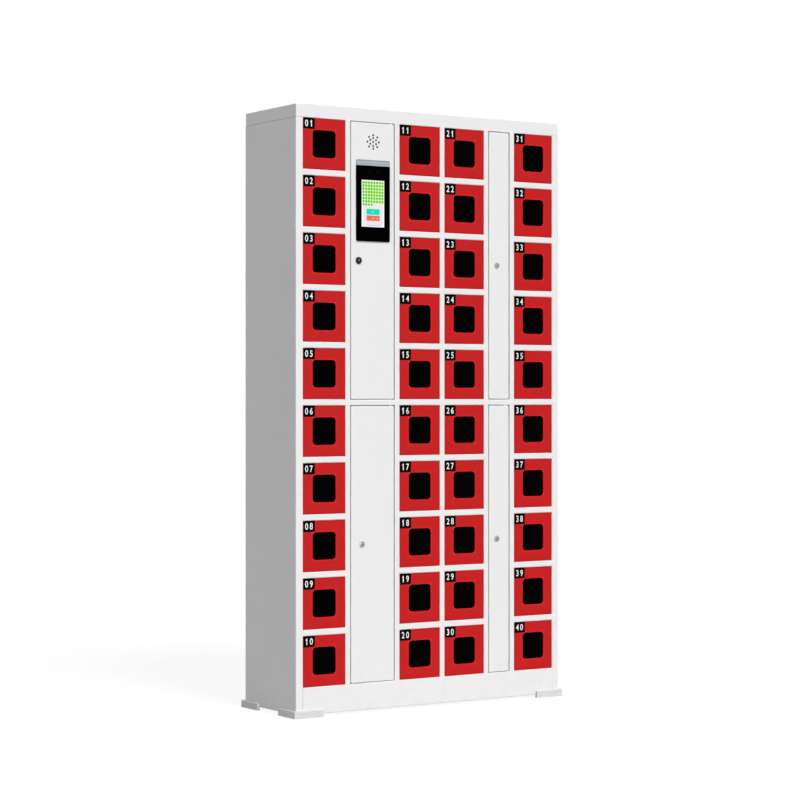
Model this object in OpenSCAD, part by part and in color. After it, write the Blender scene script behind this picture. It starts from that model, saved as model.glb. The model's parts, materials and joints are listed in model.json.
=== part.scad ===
// Cell phone locker: a sheet steel cabinet with four columns of ten small locked cells,
// a wide and a narrow wiring channel behind tall service doors, and a touch terminal.
// X runs to the right as seen from the front, the front faces -Y, Z is up from the floor.

/* [Cell doors] */
// Width of a cell door leaf
cell_door_w = 146.5; // [138:0.5:180]
// Height of a cell door leaf
cell_door_h = 151; // [130:1:200]
// Depth of a cell door's folded edge
cell_door_d = 12; // [10:0.5:16]
// Gap round a closed cell door
cell_door_gap = 1.5; // [1.3:0.1:2.5]
// Bevel on a cell door's upright front edges
cell_door_bevel = 1; // [0.5:0.1:1.5]
// Width of the window in a cell door
window_w = 80; // [60:1:84]
// Height of the window in a cell door
window_h = 82; // [60:1:84]
// Corner radius of the window
window_r = 11.5; // [4:0.5:20]
// Overlap of the window pane behind the sheet
pane_lap = 7; // [4:0.5:9]
// Thickness of the window pane
pane_t = 3; // [2:0.5:5]
// Width of the number plate
plate_w = 38; // [28:1:50]
// Height of the number plate
plate_h = 31.5; // [24:0.5:33]
// Thickness of the number plate
plate_t = 0.6; // [0.4:0.1:1.5]

/* [Cell grid] */
// Distance between two cell doors, one above the other
row_gap = 19; // [18:1:40]
// Distance between the two columns of cell doors in the middle
column_gap = 18; // [16:1:40]
// Distance between cell doors across the wide wiring channel
wide_channel_w = 193; // [185:1:300]
// Distance between cell doors across the narrow wiring channel
narrow_channel_w = 116; // [112:1:200]
// Distance from the outer cell doors to the cabinet's sides
side_margin = 23.5; // [20:0.5:40]
// Height of the plain band below the bottom row
plinth_h = 78; // [50:1:150]
// Height of the cap's skirt above the top row
cap_h = 38; // [36:1:80]
// Depth of the cabinet body, front to back
body_d = 304; // [240:1:450]

/* [Sheet metal] */
// Thickness of all steel sheet
sheet_t = 1.2; // [0.8:0.1:1.5]
// Outer radius of the upright corner bends
bend_r = 3; // [2:0.5:5]
// Depth of the folded edges round the door openings
frame_d = 20; // [18:1:30]
// Visible seam between the cap and the panels below it
cap_seam = 0.6; // [0.3:0.1:0.9]
// Width of the rear flanges that hold the back panel
rear_flange_w = 22; // [15:1:40]

/* [Service doors] */
// Width of the posts and of the middle rail round the service doors
service_post_w = 15; // [12:1:20]
// Gap round a closed service door
service_gap = 4; // [2:0.1:4.5]
// Depth of a service door's folded edge
service_door_d = 15; // [12:0.5:18]
// Corner radius of a service door
service_corner_r = 4; // [2:0.5:8]

/* [Hinges] */
// Radius of a cell door's hinge pins
cell_pin_r = 1.5; // [1:0.1:2]
// Distance of a cell door's hinge axis from its hinged edge
cell_hinge_x = 8; // [6.5:0.5:12]
// Radius of a service door's hinge pins
service_pin_r = 2.5; // [2:0.1:3]
// Distance of a service door's hinge axis from its hinged edge
service_hinge_x = 10; // [8:0.5:16]
// Radial clearance of a hinge pin in its hole
pin_clearance = 0.05; // [0.02:0.01:0.1]

/* [Electric locks] */
// Width of an electric lock, across the cell
lock_w = 22; // [20:0.5:30]
// Depth of an electric lock, front to back
lock_d = 56; // [40:1:90]
// Height of an electric lock
lock_h = 36; // [28:1:60]
// Length of a strike hook behind the door's face
hook_reach = 34; // [30:0.5:38]
// Thickness of a strike hook
hook_t = 2; // [1.5:0.1:3]
// Height of a strike hook's blade
hook_h = 14; // [12:1:20]
// Distance of a strike hook from the door's lock edge
hook_inset = 9; // [8:0.5:11]

/* [Terminal] */
// Width of the terminal's front
terminal_w = 119; // [90:1:130]
// Height of the terminal's front
terminal_h = 245; // [180:1:280]
// Corner radius of the terminal's front
terminal_r = 5; // [3:0.5:12]
// How far the terminal stands out from its door
terminal_out = 3.5; // [3:0.5:9]
// Distance from the top of its door to the terminal
terminal_drop = 110.5; // [95:0.5:160]
// Height of the bare strip above the glass
terminal_strip_h = 17.5; // [10:0.1:30]
// Width of the terminal's rim beside the glass
terminal_rim = 0.8; // [0.5:0.1:3]
// Thickness of the glass
glass_t = 1.8; // [1:0.1:3]
// Margin of the terminal's front over its rear box
terminal_lap = 8; // [5:0.5:12]
// Depth of the terminal's rear box behind the door's face
terminal_box_d = 28; // [20:1:60]
// Wall thickness of the terminal
terminal_wall = 2.5; // [2:0.1:4]
// Width of the lit display behind the glass
display_w = 80; // [60:1:90]
// Height of the lit display behind the glass
display_h = 140; // [100:1:170]
// Thickness of the display module
display_t = 6; // [4:0.5:9]
// Distance from the top of the glass to the display
display_drop = 43.5; // [30:0.5:50]

/* [Speaker] */
// Distance from the top of its door to the speaker's centre
speaker_drop = 56; // [45:0.5:60]
// Distance of the speaker's centre to the right of its door's middle
speaker_shift = 2; // [0:0.5:5]
// Diameter of a sound hole
sound_hole_d = 6.2; // [3:0.1:6.8]
// Radius of the inner ring of sound holes
sound_ring_1 = 11.7; // [9:0.1:13]
// Radius of the outer ring of sound holes
sound_ring_2 = 20.5; // [19:0.1:22]
// Radius of the speaker's rim
speaker_r = 28; // [26:0.5:34]
// Depth of the speaker
speaker_d = 22; // [14:1:40]

/* [Key locks] */
// Distance of the terminal door's key lock from the door's edge
main_lock_inset = 26; // [24:0.5:45]
// Distance of the lower wide door's key lock from the door's edge
lower_lock_inset = 38.5; // [24:0.5:45]
// Distance of the narrow doors' key locks from the door's edge
narrow_lock_inset = 28.5; // [24:0.5:36]
// Radius of the terminal door's black lock head
main_head_r = 10.7; // [10:0.1:14]
// Height of the terminal door's black lock head
main_head_t = 5; // [2:0.1:6]
// Radius of the other doors' lock heads
key_head_r = 9.4; // [9:0.1:12]
// Height of the other doors' lock heads
key_head_t = 2.5; // [1.5:0.1:5]
// Radius of a lock's barrel
barrel_r = 8.2; // [7.5:0.1:8.6]
// Radius of a lock's turning plug
plug_r = 5.5; // [4.5:0.1:6.5]
// Width of a lock's cam
cam_w = 16; // [12:0.5:20]
// Thickness of a lock's cam
cam_t = 2; // [1.5:0.1:3]
// How far a turned cam reaches behind its post
cam_grip = 8; // [5:0.5:9]

/* [Feet] */
// Height of a corner foot
foot_h = 22; // [16:0.5:40]
// Height of the body's underside above the floor
foot_drop = 10; // [6:0.5:14]
// How far a foot stands out from the body
foot_out = 11; // [9:0.5:20]
// Length of each arm of a corner foot
foot_arm = 100; // [60:1:150]
// How far a foot reaches in under the body
foot_in = 20; // [10:1:40]

/* [Back panel] */
// Radius of a wall anchor hole
anchor_r = 4.5; // [3:0.1:7]
// Distance of the anchor holes from the body's top and bottom
anchor_inset_z = 150; // [110:1:400]
// Radius of the cable inlet's bore
inlet_r = 6; // [4:0.1:10]
// Wall of the cable inlet's rubber bush
inlet_wall = 3; // [2:0.1:5]
// Height of the cable inlet above the floor
inlet_z = 60; // [50:1:90]

/* [Electronics] */
// Width, depth and height of the power supply
supply_size = [98, 38, 159];
// Width, depth and height of the main controller
controller_size = [120, 40, 180];
// Width, depth and height of a lock driver board's case
driver_size = [86, 30, 150];

/* [Hidden] */
rows = 10;
columns = 4;
$fn = 48;
// Hairline between welded or glued pieces that stay separate solids
weld_gap = 0.1;
// Slip fit between sheets and housings
slip = 0.3;
// Sheet left in front of a hinge hole
hinge_web = 0.25;
// Length of a hinge pin past the sheets that it passes through
pin_end = 1.5;
// Extra length of a cutting shape, so that it passes through
cut = 1;

function two_digits(n) = str(n < 10 ? "0" : "", n);

steel_white = [0.92, 0.92, 0.92];
door_red = [0.76, 0.13, 0.14];
plastic_black = [0.02, 0.02, 0.02];
metal_silver = [0.72, 0.74, 0.76];
terminal_grey = [0.62, 0.66, 0.70];
foot_grey = [0.84, 0.84, 0.84];
lock_grey = [0.35, 0.36, 0.38];

// Places along X
body_w = 2 * side_margin + columns * cell_door_w + wide_channel_w + column_gap + narrow_channel_w;
body_x = -body_w / 2;
leaf_x_1 = body_x + side_margin;
leaf_x_2 = leaf_x_1 + cell_door_w + wide_channel_w;
leaf_x_3 = leaf_x_2 + cell_door_w + column_gap;
leaf_x_4 = leaf_x_3 + cell_door_w + narrow_channel_w;
leaf_x = [leaf_x_1, leaf_x_2, leaf_x_3, leaf_x_4];
hinged_left = [true, false, true, false];
function open_x0(c) = leaf_x[c] - cell_door_gap;
function open_x1(c) = leaf_x[c] + cell_door_w + cell_door_gap;
wide_open_x0 = open_x1(0) + service_post_w;
wide_open_x1 = open_x0(1) - service_post_w;
narrow_open_x0 = open_x1(2) + service_post_w;
narrow_open_x1 = open_x0(3) - service_post_w;
middle_x = (open_x1(1) + open_x0(2)) / 2;
wide_mid_x = (open_x1(0) + open_x0(1)) / 2;
narrow_mid_x = (open_x1(2) + open_x0(3)) / 2;

// Places along Y
front_y = -body_d / 2;
back_y = body_d / 2;
walls_y = front_y + frame_d + weld_gap;
back_sheet_y = back_y - 2 * sheet_t - weld_gap;
walls_d = min(back_sheet_y - weld_gap, back_y - bend_r) - walls_y;
bend_x = body_x + bend_r + weld_gap;
rail_y = front_y + sheet_t + slip;
cell_hinge_y = 2 * sheet_t + slip + hinge_web + cell_pin_r + pin_clearance;
service_hinge_y = 2 * sheet_t + slip + hinge_web + service_pin_r + pin_clearance;

// Places along Z
row_pitch = cell_door_h + row_gap;
body_z = foot_drop;
grid_z = body_z + plinth_h;
function leaf_z(r) = grid_z + cell_door_gap + (rows - 1 - r) * row_pitch;
function open_z0(r) = leaf_z(r) - cell_door_gap;
function open_z1(r) = leaf_z(r) + cell_door_h + cell_door_gap;
grid_top = open_z1(0);
body_top = grid_top + cap_h;
panel_top = grid_top - cap_seam;
lower_open_z1 = open_z1(rows / 2);
upper_open_z0 = lower_open_z1 + service_post_w;
upper_z = upper_open_z0 + service_gap;
upper_h = grid_top - service_gap - upper_z;
lower_z = grid_z + service_gap;
lower_h = lower_open_z1 - service_gap - lower_z;
wide_leaf_x = wide_open_x0 + service_gap;
wide_leaf_w = wide_open_x1 - service_gap - wide_leaf_x;
narrow_leaf_x = narrow_open_x0 + service_gap;
narrow_leaf_w = narrow_open_x1 - service_gap - narrow_leaf_x;

// Strike hooks and electric locks
hook_wall_x = hook_inset + cell_door_gap;
lock_front = frame_d + 2;
mouth_d = hook_reach - lock_front + 2;
mouth_x0 = hook_wall_x - 3;
mouth_x1 = hook_wall_x + hook_t + 0.6;
mouth_h = hook_h + 4;
hook_foot_w = 8;
hook_foot_h = hook_h + 10;
hook_eye = 6;
hook_tip = 3;

// Key locks
barrel_d = frame_d + 2;
nut_r = barrel_r + 4;
nut_t = 4;
key_slot = [8, 1.6, 1.5];
plug_proud = 0.6;
cam_nut_r = 7;
cam_nut_t = 2.5;

// Terminal
terminal_y = front_y - terminal_out;
terminal_x = wide_leaf_x + (wide_leaf_w - terminal_w) / 2;
terminal_z = upper_z + upper_h - terminal_drop - terminal_h;
glass_x = terminal_rim + slip;
glass_w = terminal_w - 2 * glass_x;
glass_h = terminal_h - terminal_strip_h - terminal_rim - 2 * slip;
glass_z = terminal_rim + slip;
box_w = terminal_w - 2 * terminal_lap;
box_h = terminal_h - 2 * terminal_lap;
display_x = (terminal_w - display_w) / 2;
display_z = glass_z + glass_h - display_drop - display_h;
speaker_x = wide_leaf_x + wide_leaf_w / 2 + speaker_shift;
speaker_z = upper_z + upper_h - speaker_drop;
speaker_flange_t = 2;

// Outline in X and Z with round corners, extruded backwards from its own Y = 0
module rounded_plate(w, h, r, d) {
    translate([0, d, 0]) rotate([90, 0, 0]) linear_extrude(d) {
        translate([r, 0]) square([w - 2 * r, h]);
        translate([0, r]) square([w, h - 2 * r]);
        for (x = [r, w - r], z = [r, h - r])
            translate([x, z]) circle(r);
    }
}

// Cylinder along Y, starting at its own Y = 0
module rod_y(r, d) {
    rotate([-90, 0, 0]) cylinder(r = r, h = d);
}

// Hinge pins on the top and the bottom edge of a leaf
module hinge_pins(x, y, h, gap, r) {
    pin_h = 2 * sheet_t + gap + 2 * pin_end;
    for (z = [-gap - sheet_t - pin_end, h + gap + sheet_t + pin_end - pin_h])
        translate([x, y, z]) cylinder(r = r, h = pin_h);
}

// Folded leaf of a cell door, hinged on its left edge
module cell_leaf() {
    w = cell_door_w;
    b = cell_door_bevel;
    difference() {
        linear_extrude(cell_door_h)
            polygon([[0, b], [b, 0], [w - b, 0], [w, b], [w, cell_door_d], [0, cell_door_d]]);
        translate([sheet_t, sheet_t, sheet_t])
            cube([w - 2 * sheet_t, cell_door_d, cell_door_h - 2 * sheet_t]);
        translate([(w - window_w) / 2, -cut, (cell_door_h - window_h) / 2])
            rounded_plate(window_w, window_h, window_r, sheet_t + 2 * cut);
    }
    hinge_pins(cell_hinge_x, cell_hinge_y, cell_door_h, cell_door_gap, cell_pin_r);
}

// Black pane behind the window
module window_pane() {
    w = window_w + 2 * pane_lap;
    h = window_h + 2 * pane_lap;
    translate([(cell_door_w - w) / 2, sheet_t + weld_gap, (cell_door_h - h) / 2])
        rounded_plate(w, h, 3, pane_t);
}

// Strike hook on the back of a leaf that is hinged on its left edge
module strike_hook() {
    x1 = cell_door_w - hook_inset;
    y0 = sheet_t + weld_gap;
    mid = cell_door_h / 2;
    difference() {
        union() {
            translate([x1 - hook_foot_w, y0, mid - hook_foot_h / 2])
                cube([hook_foot_w, hook_t, hook_foot_h]);
            translate([x1 - hook_t, y0, mid - hook_h / 2])
                cube([hook_t, hook_reach - y0, hook_h]);
        }
        translate([x1 - hook_t - cut, hook_reach - hook_tip - hook_eye, mid - hook_eye / 2])
            cube([hook_t + 2 * cut, hook_eye, hook_eye]);
    }
}

// Plate in the top left corner of every leaf, on whichever side it is hinged
module number_plate() {
    translate([cell_door_bevel, -weld_gap - plate_t, cell_door_h - plate_h])
        cube([plate_w, plate_t, plate_h]);
}

module cell_door(n) {
    c = floor((n - 1) / rows);
    r = (n - 1) % rows;
    translate([leaf_x[c], front_y, leaf_z(r)]) {
        translate([hinged_left[c] ? 0 : cell_door_w, 0, 0])
            mirror([hinged_left[c] ? 0 : 1, 0, 0]) {
                color(door_red) cell_leaf();
                color(plastic_black) window_pane();
                color(metal_silver) strike_hook();
            }
        color(plastic_black) number_plate();
    }
}

// Quarter of a bent sheet, outside corner at the origin
module sheet_bend() {
    translate([bend_r, bend_r]) intersection() {
        difference() {
            circle(bend_r);
            circle(bend_r - sheet_t);
        }
        translate([-2 * bend_r, -2 * bend_r]) square(2 * bend_r);
    }
}

// One side panel: its front edge is folded round to make the outer post
module side_panel() {
    post_w = side_margin - cell_door_gap;
    linear_extrude(panel_top - body_z) {
        translate([0, bend_r]) square([sheet_t, body_d - 2 * bend_r]);
        translate([bend_r, 0]) square([post_w - bend_r, sheet_t]);
        translate([post_w - sheet_t, 0]) square([sheet_t, frame_d]);
        translate([bend_r, body_d - sheet_t]) square([rear_flange_w - bend_r, sheet_t]);
        sheet_bend();
        translate([0, body_d]) mirror([0, 1]) sheet_bend();
    }
}

module side_panels() {
    color(steel_white) for (side = [0, 1])
        mirror([side, 0, 0]) translate([body_x, front_y, body_z]) side_panel();
}

// Places of the four wall anchor holes, in X and Z
anchor_x = [wide_mid_x, narrow_mid_x];
anchor_z = [body_z + anchor_inset_z, body_top - anchor_inset_z];

module back_panel() {
    inlet_sheet_r = inlet_r + inlet_wall;
    bush_lip_w = 3;
    bush_lip_t = 2;
    color(steel_white) difference() {
        translate([bend_x, back_sheet_y, body_z])
            cube([-2 * bend_x, sheet_t, panel_top - body_z]);
        for (x = anchor_x, z = anchor_z)
            translate([x, back_sheet_y - cut, z]) rod_y(anchor_r, sheet_t + 2 * cut);
        translate([wide_mid_x, back_sheet_y - cut, inlet_z])
            rod_y(inlet_sheet_r, sheet_t + 2 * cut);
    }
    color(plastic_black) translate([wide_mid_x, back_sheet_y, inlet_z]) rotate([-90, 0, 0])
        rotate_extrude() {
            translate([inlet_r, -bush_lip_t])
                square([inlet_wall - weld_gap, sheet_t + 2 * bush_lip_t]);
            for (y = [-bush_lip_t, sheet_t + weld_gap])
                translate([inlet_r, y]) square([inlet_wall + bush_lip_w, bush_lip_t - weld_gap]);
        }
}

// Shallow cap over the top, with its skirt in the plane of the panels below
module top_cap() {
    h = body_top - grid_top;
    color(steel_white) translate([body_x, front_y, grid_top]) difference() {
        cap_block(0, h);
        translate([0, 0, -cut]) cap_block(sheet_t, h - sheet_t + cut);
    }
}

module cap_block(inset, h) {
    r = bend_r - inset;
    linear_extrude(h) {
        translate([bend_r, inset]) square([body_w - 2 * bend_r, body_d - 2 * inset]);
        translate([inset, bend_r]) square([body_w - 2 * inset, body_d - 2 * bend_r]);
        for (x = [bend_r, body_w - bend_r], y = [bend_r, body_d - bend_r])
            translate([x, y]) circle(r);
    }
}

// Holes for hinge pins through a flange with its underside at z
module cell_pin_hole(c, z) {
    x = hinged_left[c] ? leaf_x[c] + cell_hinge_x : leaf_x[c] + cell_door_w - cell_hinge_x;
    translate([x, front_y + cell_hinge_y, z - cut])
        cylinder(r = cell_pin_r + pin_clearance, h = sheet_t + 2 * cut);
}

module service_pin_holes(z) {
    for (x1 = [wide_open_x1, narrow_open_x1])
        translate([x1 - service_gap - service_hinge_x, front_y + service_hinge_y, z - cut])
            cylinder(r = service_pin_r + pin_clearance, h = sheet_t + 2 * cut);
}

// Floor, plain front band and the sill under the bottom row
module base_pan() {
    x0 = open_x0(0) + weld_gap;
    w = open_x1(3) - weld_gap - x0;
    sill_z = grid_z - sheet_t;
    color(steel_white) difference() {
        union() {
            translate([x0, front_y, body_z]) cube([w, sheet_t, plinth_h]);
            translate([x0, front_y, body_z]) cube([w, frame_d + slip, sheet_t]);
            translate([x0, front_y, sill_z]) cube([w, frame_d, sheet_t]);
            translate([bend_x, walls_y, body_z])
                cube([-2 * bend_x, back_sheet_y - weld_gap - walls_y, sheet_t]);
        }
        for (c = [0:columns - 1]) cell_pin_hole(c, sill_z);
        service_pin_holes(sill_z);
    }
}

// Folded post between two door openings, open at the back
module frame_post(x0, x1) {
    w = x1 - x0;
    h = grid_top - grid_z - 2 * weld_gap;
    translate([x0, front_y, grid_z + weld_gap]) difference() {
        cube([w, frame_d, h]);
        translate([sheet_t, sheet_t, -cut]) cube([w - 2 * sheet_t, frame_d, h + 2 * cut]);
    }
}

// Folded rail between two openings, one above the other, open at the back
module frame_rail(x0, x1, z0, z1) {
    w = x1 - x0 - 2 * weld_gap;
    h = z1 - z0;
    translate([x0 + weld_gap, front_y, z0]) difference() {
        cube([w, frame_d, h]);
        translate([-cut, sheet_t, sheet_t]) cube([w + 2 * cut, frame_d, h - 2 * sheet_t]);
    }
}

// Angle behind the cap's skirt that carries the top row's hinge pins
module top_rail() {
    flange_h = cap_h - 10;
    difference() {
        union() {
            translate([bend_x, rail_y, grid_top])
                cube([-2 * bend_x, front_y + frame_d - rail_y, sheet_t]);
            translate([bend_x, rail_y, grid_top]) cube([-2 * bend_x, sheet_t, flange_h]);
        }
        for (c = [0:columns - 1]) cell_pin_hole(c, grid_top);
        service_pin_holes(grid_top);
    }
}

module front_frame() {
    color(steel_white) {
        frame_post(open_x1(0), wide_open_x0);
        frame_post(wide_open_x1, open_x0(1));
        frame_post(open_x1(1), open_x0(2));
        frame_post(open_x1(2), narrow_open_x0);
        frame_post(narrow_open_x1, open_x0(3));
        top_rail();
        for (c = [0:columns - 1], r = [0:rows - 2]) {
            z0 = open_z1(r + 1);
            z1 = open_z0(r);
            difference() {
                frame_rail(open_x0(c), open_x1(c), z0, z1);
                cell_pin_hole(c, z0);
                cell_pin_hole(c, z1 - sheet_t);
            }
        }
        difference() {
            union() {
                frame_rail(wide_open_x0, wide_open_x1, lower_open_z1, upper_open_z0);
                frame_rail(narrow_open_x0, narrow_open_x1, lower_open_z1, upper_open_z0);
            }
            service_pin_holes(lower_open_z1);
            service_pin_holes(upper_open_z0 - sheet_t);
        }
    }
}

// Left faces of the five upright walls, from left to right
wall_x = [open_x1(0), open_x0(1) - sheet_t, middle_x - sheet_t / 2, open_x1(2), open_x0(3) - sheet_t];

// Upright walls and shelves that make the cells
module cell_walls() {
    wall_z = body_z + sheet_t + weld_gap;
    wall_h = body_top - sheet_t - slip - wall_z;
    side_x = -body_x - sheet_t;
    shelf_x0 = [-side_x, wall_x[1] + sheet_t, wall_x[2] + sheet_t, wall_x[4] + sheet_t];
    shelf_x1 = [wall_x[0], wall_x[2], wall_x[3], side_x];
    color(steel_white) {
        for (x = wall_x)
            translate([x, walls_y, wall_z]) cube([sheet_t, walls_d, wall_h]);
        for (c = [0:columns - 1], r = [-1:rows - 1])
            translate([shelf_x0[c] + weld_gap, walls_y, open_z0(r) - sheet_t])
                cube([shelf_x1[c] - shelf_x0[c] - 2 * weld_gap, walls_d, sheet_t]);
    }
}

// Corner foot at the front left: two arms that wrap the cabinet's bottom edge
module corner_foot() {
    reach = foot_out + foot_in;
    difference() {
        translate([-foot_out, -foot_out, 0]) {
            cube([foot_arm, reach, foot_h]);
            cube([reach, foot_arm, foot_h]);
        }
        translate([-slip, -slip, foot_drop]) cube([foot_arm, foot_arm, foot_h]);
    }
}

module corner_feet() {
    color(foot_grey) for (mx = [0, 1], my = [0, 1])
        mirror([mx, 0, 0]) mirror([0, my, 0]) translate([body_x, front_y, 0]) corner_foot();
}

// Electric lock on the wall at the right of a cell; the wall's face is at X = 0
module electric_lock() {
    difference() {
        translate([-lock_w, lock_front, -lock_h / 2]) cube([lock_w, lock_d, lock_h]);
        translate([-mouth_x1, lock_front - cut, -mouth_h / 2])
            cube([mouth_x1 - mouth_x0, mouth_d + cut, mouth_h]);
    }
}

module electric_locks() {
    color(lock_grey) for (c = [0:columns - 1], r = [0:rows - 1]) {
        x = hinged_left[c] ? open_x1(c) : open_x0(c);
        translate([x, front_y, leaf_z(r) + cell_door_h / 2])
            mirror([hinged_left[c] ? 0 : 1, 0, 0]) electric_lock();
    }
}

// Barrel of a key lock with its head and nut, axis at the origin, door face at Y = 0
module lock_barrel(head_r, head_t) {
    rotate([-90, 0, 0]) rotate_extrude() {
        translate([plug_r + pin_clearance, -head_t - weld_gap])
            square([head_r - plug_r - pin_clearance, head_t]);
        translate([plug_r + pin_clearance, -head_t - weld_gap])
            square([barrel_r - plug_r - pin_clearance, barrel_d + head_t + weld_gap]);
        translate([plug_r + pin_clearance, sheet_t + weld_gap])
            square([nut_r - plug_r - pin_clearance, nut_t]);
    }
}

// Turning plug of a key lock with its cam pointing down
module key_plug(head_t, cam_reach) {
    cam_y = barrel_d + slip;
    front = head_t + weld_gap + plug_proud;
    translate([0, -front, 0]) difference() {
        rod_y(plug_r, front + cam_y + cam_t);
        translate([-key_slot[0] / 2, -cut, -key_slot[1] / 2])
            cube([key_slot[0], key_slot[2] + cut, key_slot[1]]);
    }
    translate([-cam_w / 2, cam_y, -cam_reach]) cube([cam_w, cam_t, cam_reach + cam_w / 2]);
    translate([0, cam_y + cam_t, 0]) rotate([-90, 0, 0])
        cylinder(r = cam_nut_r, h = cam_nut_t, $fn = 6);
}

// Folded leaf of a service door, hinged on its right edge, with a hole for its lock
module service_leaf(w, h, lock_x) {
    difference() {
        rounded_plate(w, h, service_corner_r, service_door_d);
        translate([sheet_t, sheet_t, sheet_t])
            rounded_plate(w - 2 * sheet_t, h - 2 * sheet_t, service_corner_r - sheet_t, service_door_d);
        translate([lock_x, -cut, h / 2]) rod_y(barrel_r + weld_gap, sheet_t + 2 * cut);
    }
    hinge_pins(w - service_hinge_x, service_hinge_y, h, service_gap, service_pin_r);
}

// Centres of the sound holes round the speaker's axis
sound_holes = concat(
    [[0, 0]],
    [for (i = [0:5]) sound_ring_1 * [sin(60 * i), cos(60 * i)]],
    [for (i = [0:7]) sound_ring_2 * [sin(45 * i), cos(45 * i)]]);

module service_door_upper_wide() {
    color(steel_white) difference() {
        translate([wide_leaf_x, front_y, upper_z])
            service_leaf(wide_leaf_w, upper_h, main_lock_inset);
        for (p = sound_holes)
            translate([speaker_x + p[0], front_y - cut, speaker_z + p[1]])
                rod_y(sound_hole_d / 2, sheet_t + 2 * cut);
        translate([terminal_x + terminal_lap - slip, front_y - cut, terminal_z + terminal_lap - slip])
            cube([box_w + 2 * slip, sheet_t + 2 * cut, box_h + 2 * slip]);
    }
    color(plastic_black)
        translate([wide_leaf_x + main_lock_inset, front_y, upper_z + upper_h / 2])
            lock_barrel(main_head_r, main_head_t);
}

module plain_service_door(x, z, w, h, lock_inset) {
    color(steel_white) translate([x, front_y, z]) service_leaf(w, h, lock_inset);
    color(metal_silver) translate([x + lock_inset, front_y, z + h / 2])
        lock_barrel(key_head_r, key_head_t);
}

module service_door_lower_wide() {
    plain_service_door(wide_leaf_x, lower_z, wide_leaf_w, lower_h, lower_lock_inset);
}

module service_door_upper_narrow() {
    plain_service_door(narrow_leaf_x, upper_z, narrow_leaf_w, upper_h, narrow_lock_inset);
}

module service_door_lower_narrow() {
    plain_service_door(narrow_leaf_x, lower_z, narrow_leaf_w, lower_h, narrow_lock_inset);
}

module placed_plug(x, z, h, lock_inset, head_t) {
    translate([x + lock_inset, front_y, z + h / 2])
        key_plug(head_t, lock_inset + service_gap + cam_grip);
}

module key_plug_upper_wide() {
    color(lock_grey) placed_plug(wide_leaf_x, upper_z, upper_h, main_lock_inset, main_head_t);
}

module key_plug_lower_wide() {
    color(metal_silver) placed_plug(wide_leaf_x, lower_z, lower_h, lower_lock_inset, key_head_t);
}

module key_plug_upper_narrow() {
    color(metal_silver) placed_plug(narrow_leaf_x, upper_z, upper_h, narrow_lock_inset, key_head_t);
}

module key_plug_lower_narrow() {
    color(metal_silver) placed_plug(narrow_leaf_x, lower_z, lower_h, narrow_lock_inset, key_head_t);
}

// Front frame and rear box of the touch terminal, open at the front for the glass
module terminal_housing() {
    inner_w = box_w - 2 * terminal_wall;
    inner_h = box_h - 2 * terminal_wall;
    bezel_d = terminal_out - weld_gap;
    pocket_d = glass_t + slip;
    top_ledge = 6;
    color(terminal_grey) translate([terminal_x, terminal_y, terminal_z]) difference() {
        union() {
            rounded_plate(terminal_w, terminal_h, terminal_r, bezel_d);
            translate([terminal_lap, 0, terminal_lap])
                cube([box_w, terminal_out + terminal_box_d, box_h]);
        }
        translate([terminal_rim, -cut, terminal_rim])
            rounded_plate(glass_w + 2 * slip, glass_h + 2 * slip, terminal_r - terminal_rim,
                          pocket_d + cut);
        translate([terminal_lap + terminal_wall, 0, terminal_lap + terminal_wall])
            cube([inner_w, terminal_out + terminal_box_d - terminal_wall,
                  min(inner_h, glass_h + terminal_rim - terminal_lap - terminal_wall - top_ledge)]);
    }
}

// Glass face with the display module on its back
module terminal_screen() {
    color(plastic_black) translate([terminal_x, terminal_y, terminal_z]) {
        translate([glass_x, 0, glass_z])
            rounded_plate(glass_w, glass_h, terminal_r - terminal_rim - slip, glass_t);
        translate([display_x, glass_t, display_z]) cube([display_w, display_t, display_h]);
    }
}

// Round loudspeaker behind the sound holes
module speaker() {
    magnet_r = speaker_r / 2;
    magnet_d = 8;
    cone_r = speaker_r - 4;
    cone_gap = 0.5;
    color(plastic_black) translate([speaker_x, front_y + sheet_t, speaker_z])
        rotate([-90, 0, 0]) rotate_extrude()
            polygon([[0, cone_gap], [cone_r, cone_gap], [cone_r, 0], [speaker_r, 0],
                     [speaker_r, speaker_flange_t], [cone_r, speaker_flange_t],
                     [magnet_r, speaker_d - magnet_d], [magnet_r, speaker_d], [0, speaker_d]]);
}

// Closed case fixed to the back panel, on four short feet
module backed_case(size) {
    foot_t = 3;
    foot_w = 8;
    inset = 4;
    far = inset + foot_w;
    translate([-size[0] / 2, -size[1] - foot_t, 0]) cube(size);
    for (x = [-size[0] / 2 + inset, size[0] / 2 - far], z = [inset, size[2] - far])
        translate([x, -foot_t, z]) cube([foot_w, foot_t, foot_w]);
}

module control_electronics() {
    cable_room = 60;
    case_gap = 80;
    case_z = inlet_z + inlet_r + inlet_wall + cable_room;
    color(metal_silver) translate([wide_mid_x, back_sheet_y, case_z]) backed_case(supply_size);
    color(foot_grey) {
        translate([wide_mid_x, back_sheet_y, case_z + supply_size[2] + case_gap])
            backed_case(controller_size);
        for (z = [lower_z + lower_h / 2, upper_z + upper_h / 2])
            translate([narrow_mid_x, back_sheet_y, z]) backed_case(driver_size);
    }
}

for (n = [1:rows * columns])
    cell_door(n);
side_panels();
back_panel();
top_cap();
base_pan();
front_frame();
cell_walls();
corner_feet();
electric_locks();
service_door_upper_wide();
service_door_lower_wide();
service_door_upper_narrow();
service_door_lower_narrow();
terminal_housing();
terminal_screen();
speaker();
control_electronics();
key_plug_upper_wide();
key_plug_lower_wide();
key_plug_upper_narrow();
key_plug_lower_narrow();
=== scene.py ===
# Looks of the cell phone locker: white sheet steel, forty red doors and a touch terminal
import json
import math
from collections import namedtuple

import bmesh
import bpy
from mathutils import Matrix, Vector
from mathutils.geometry import tessellate_polygon


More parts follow.
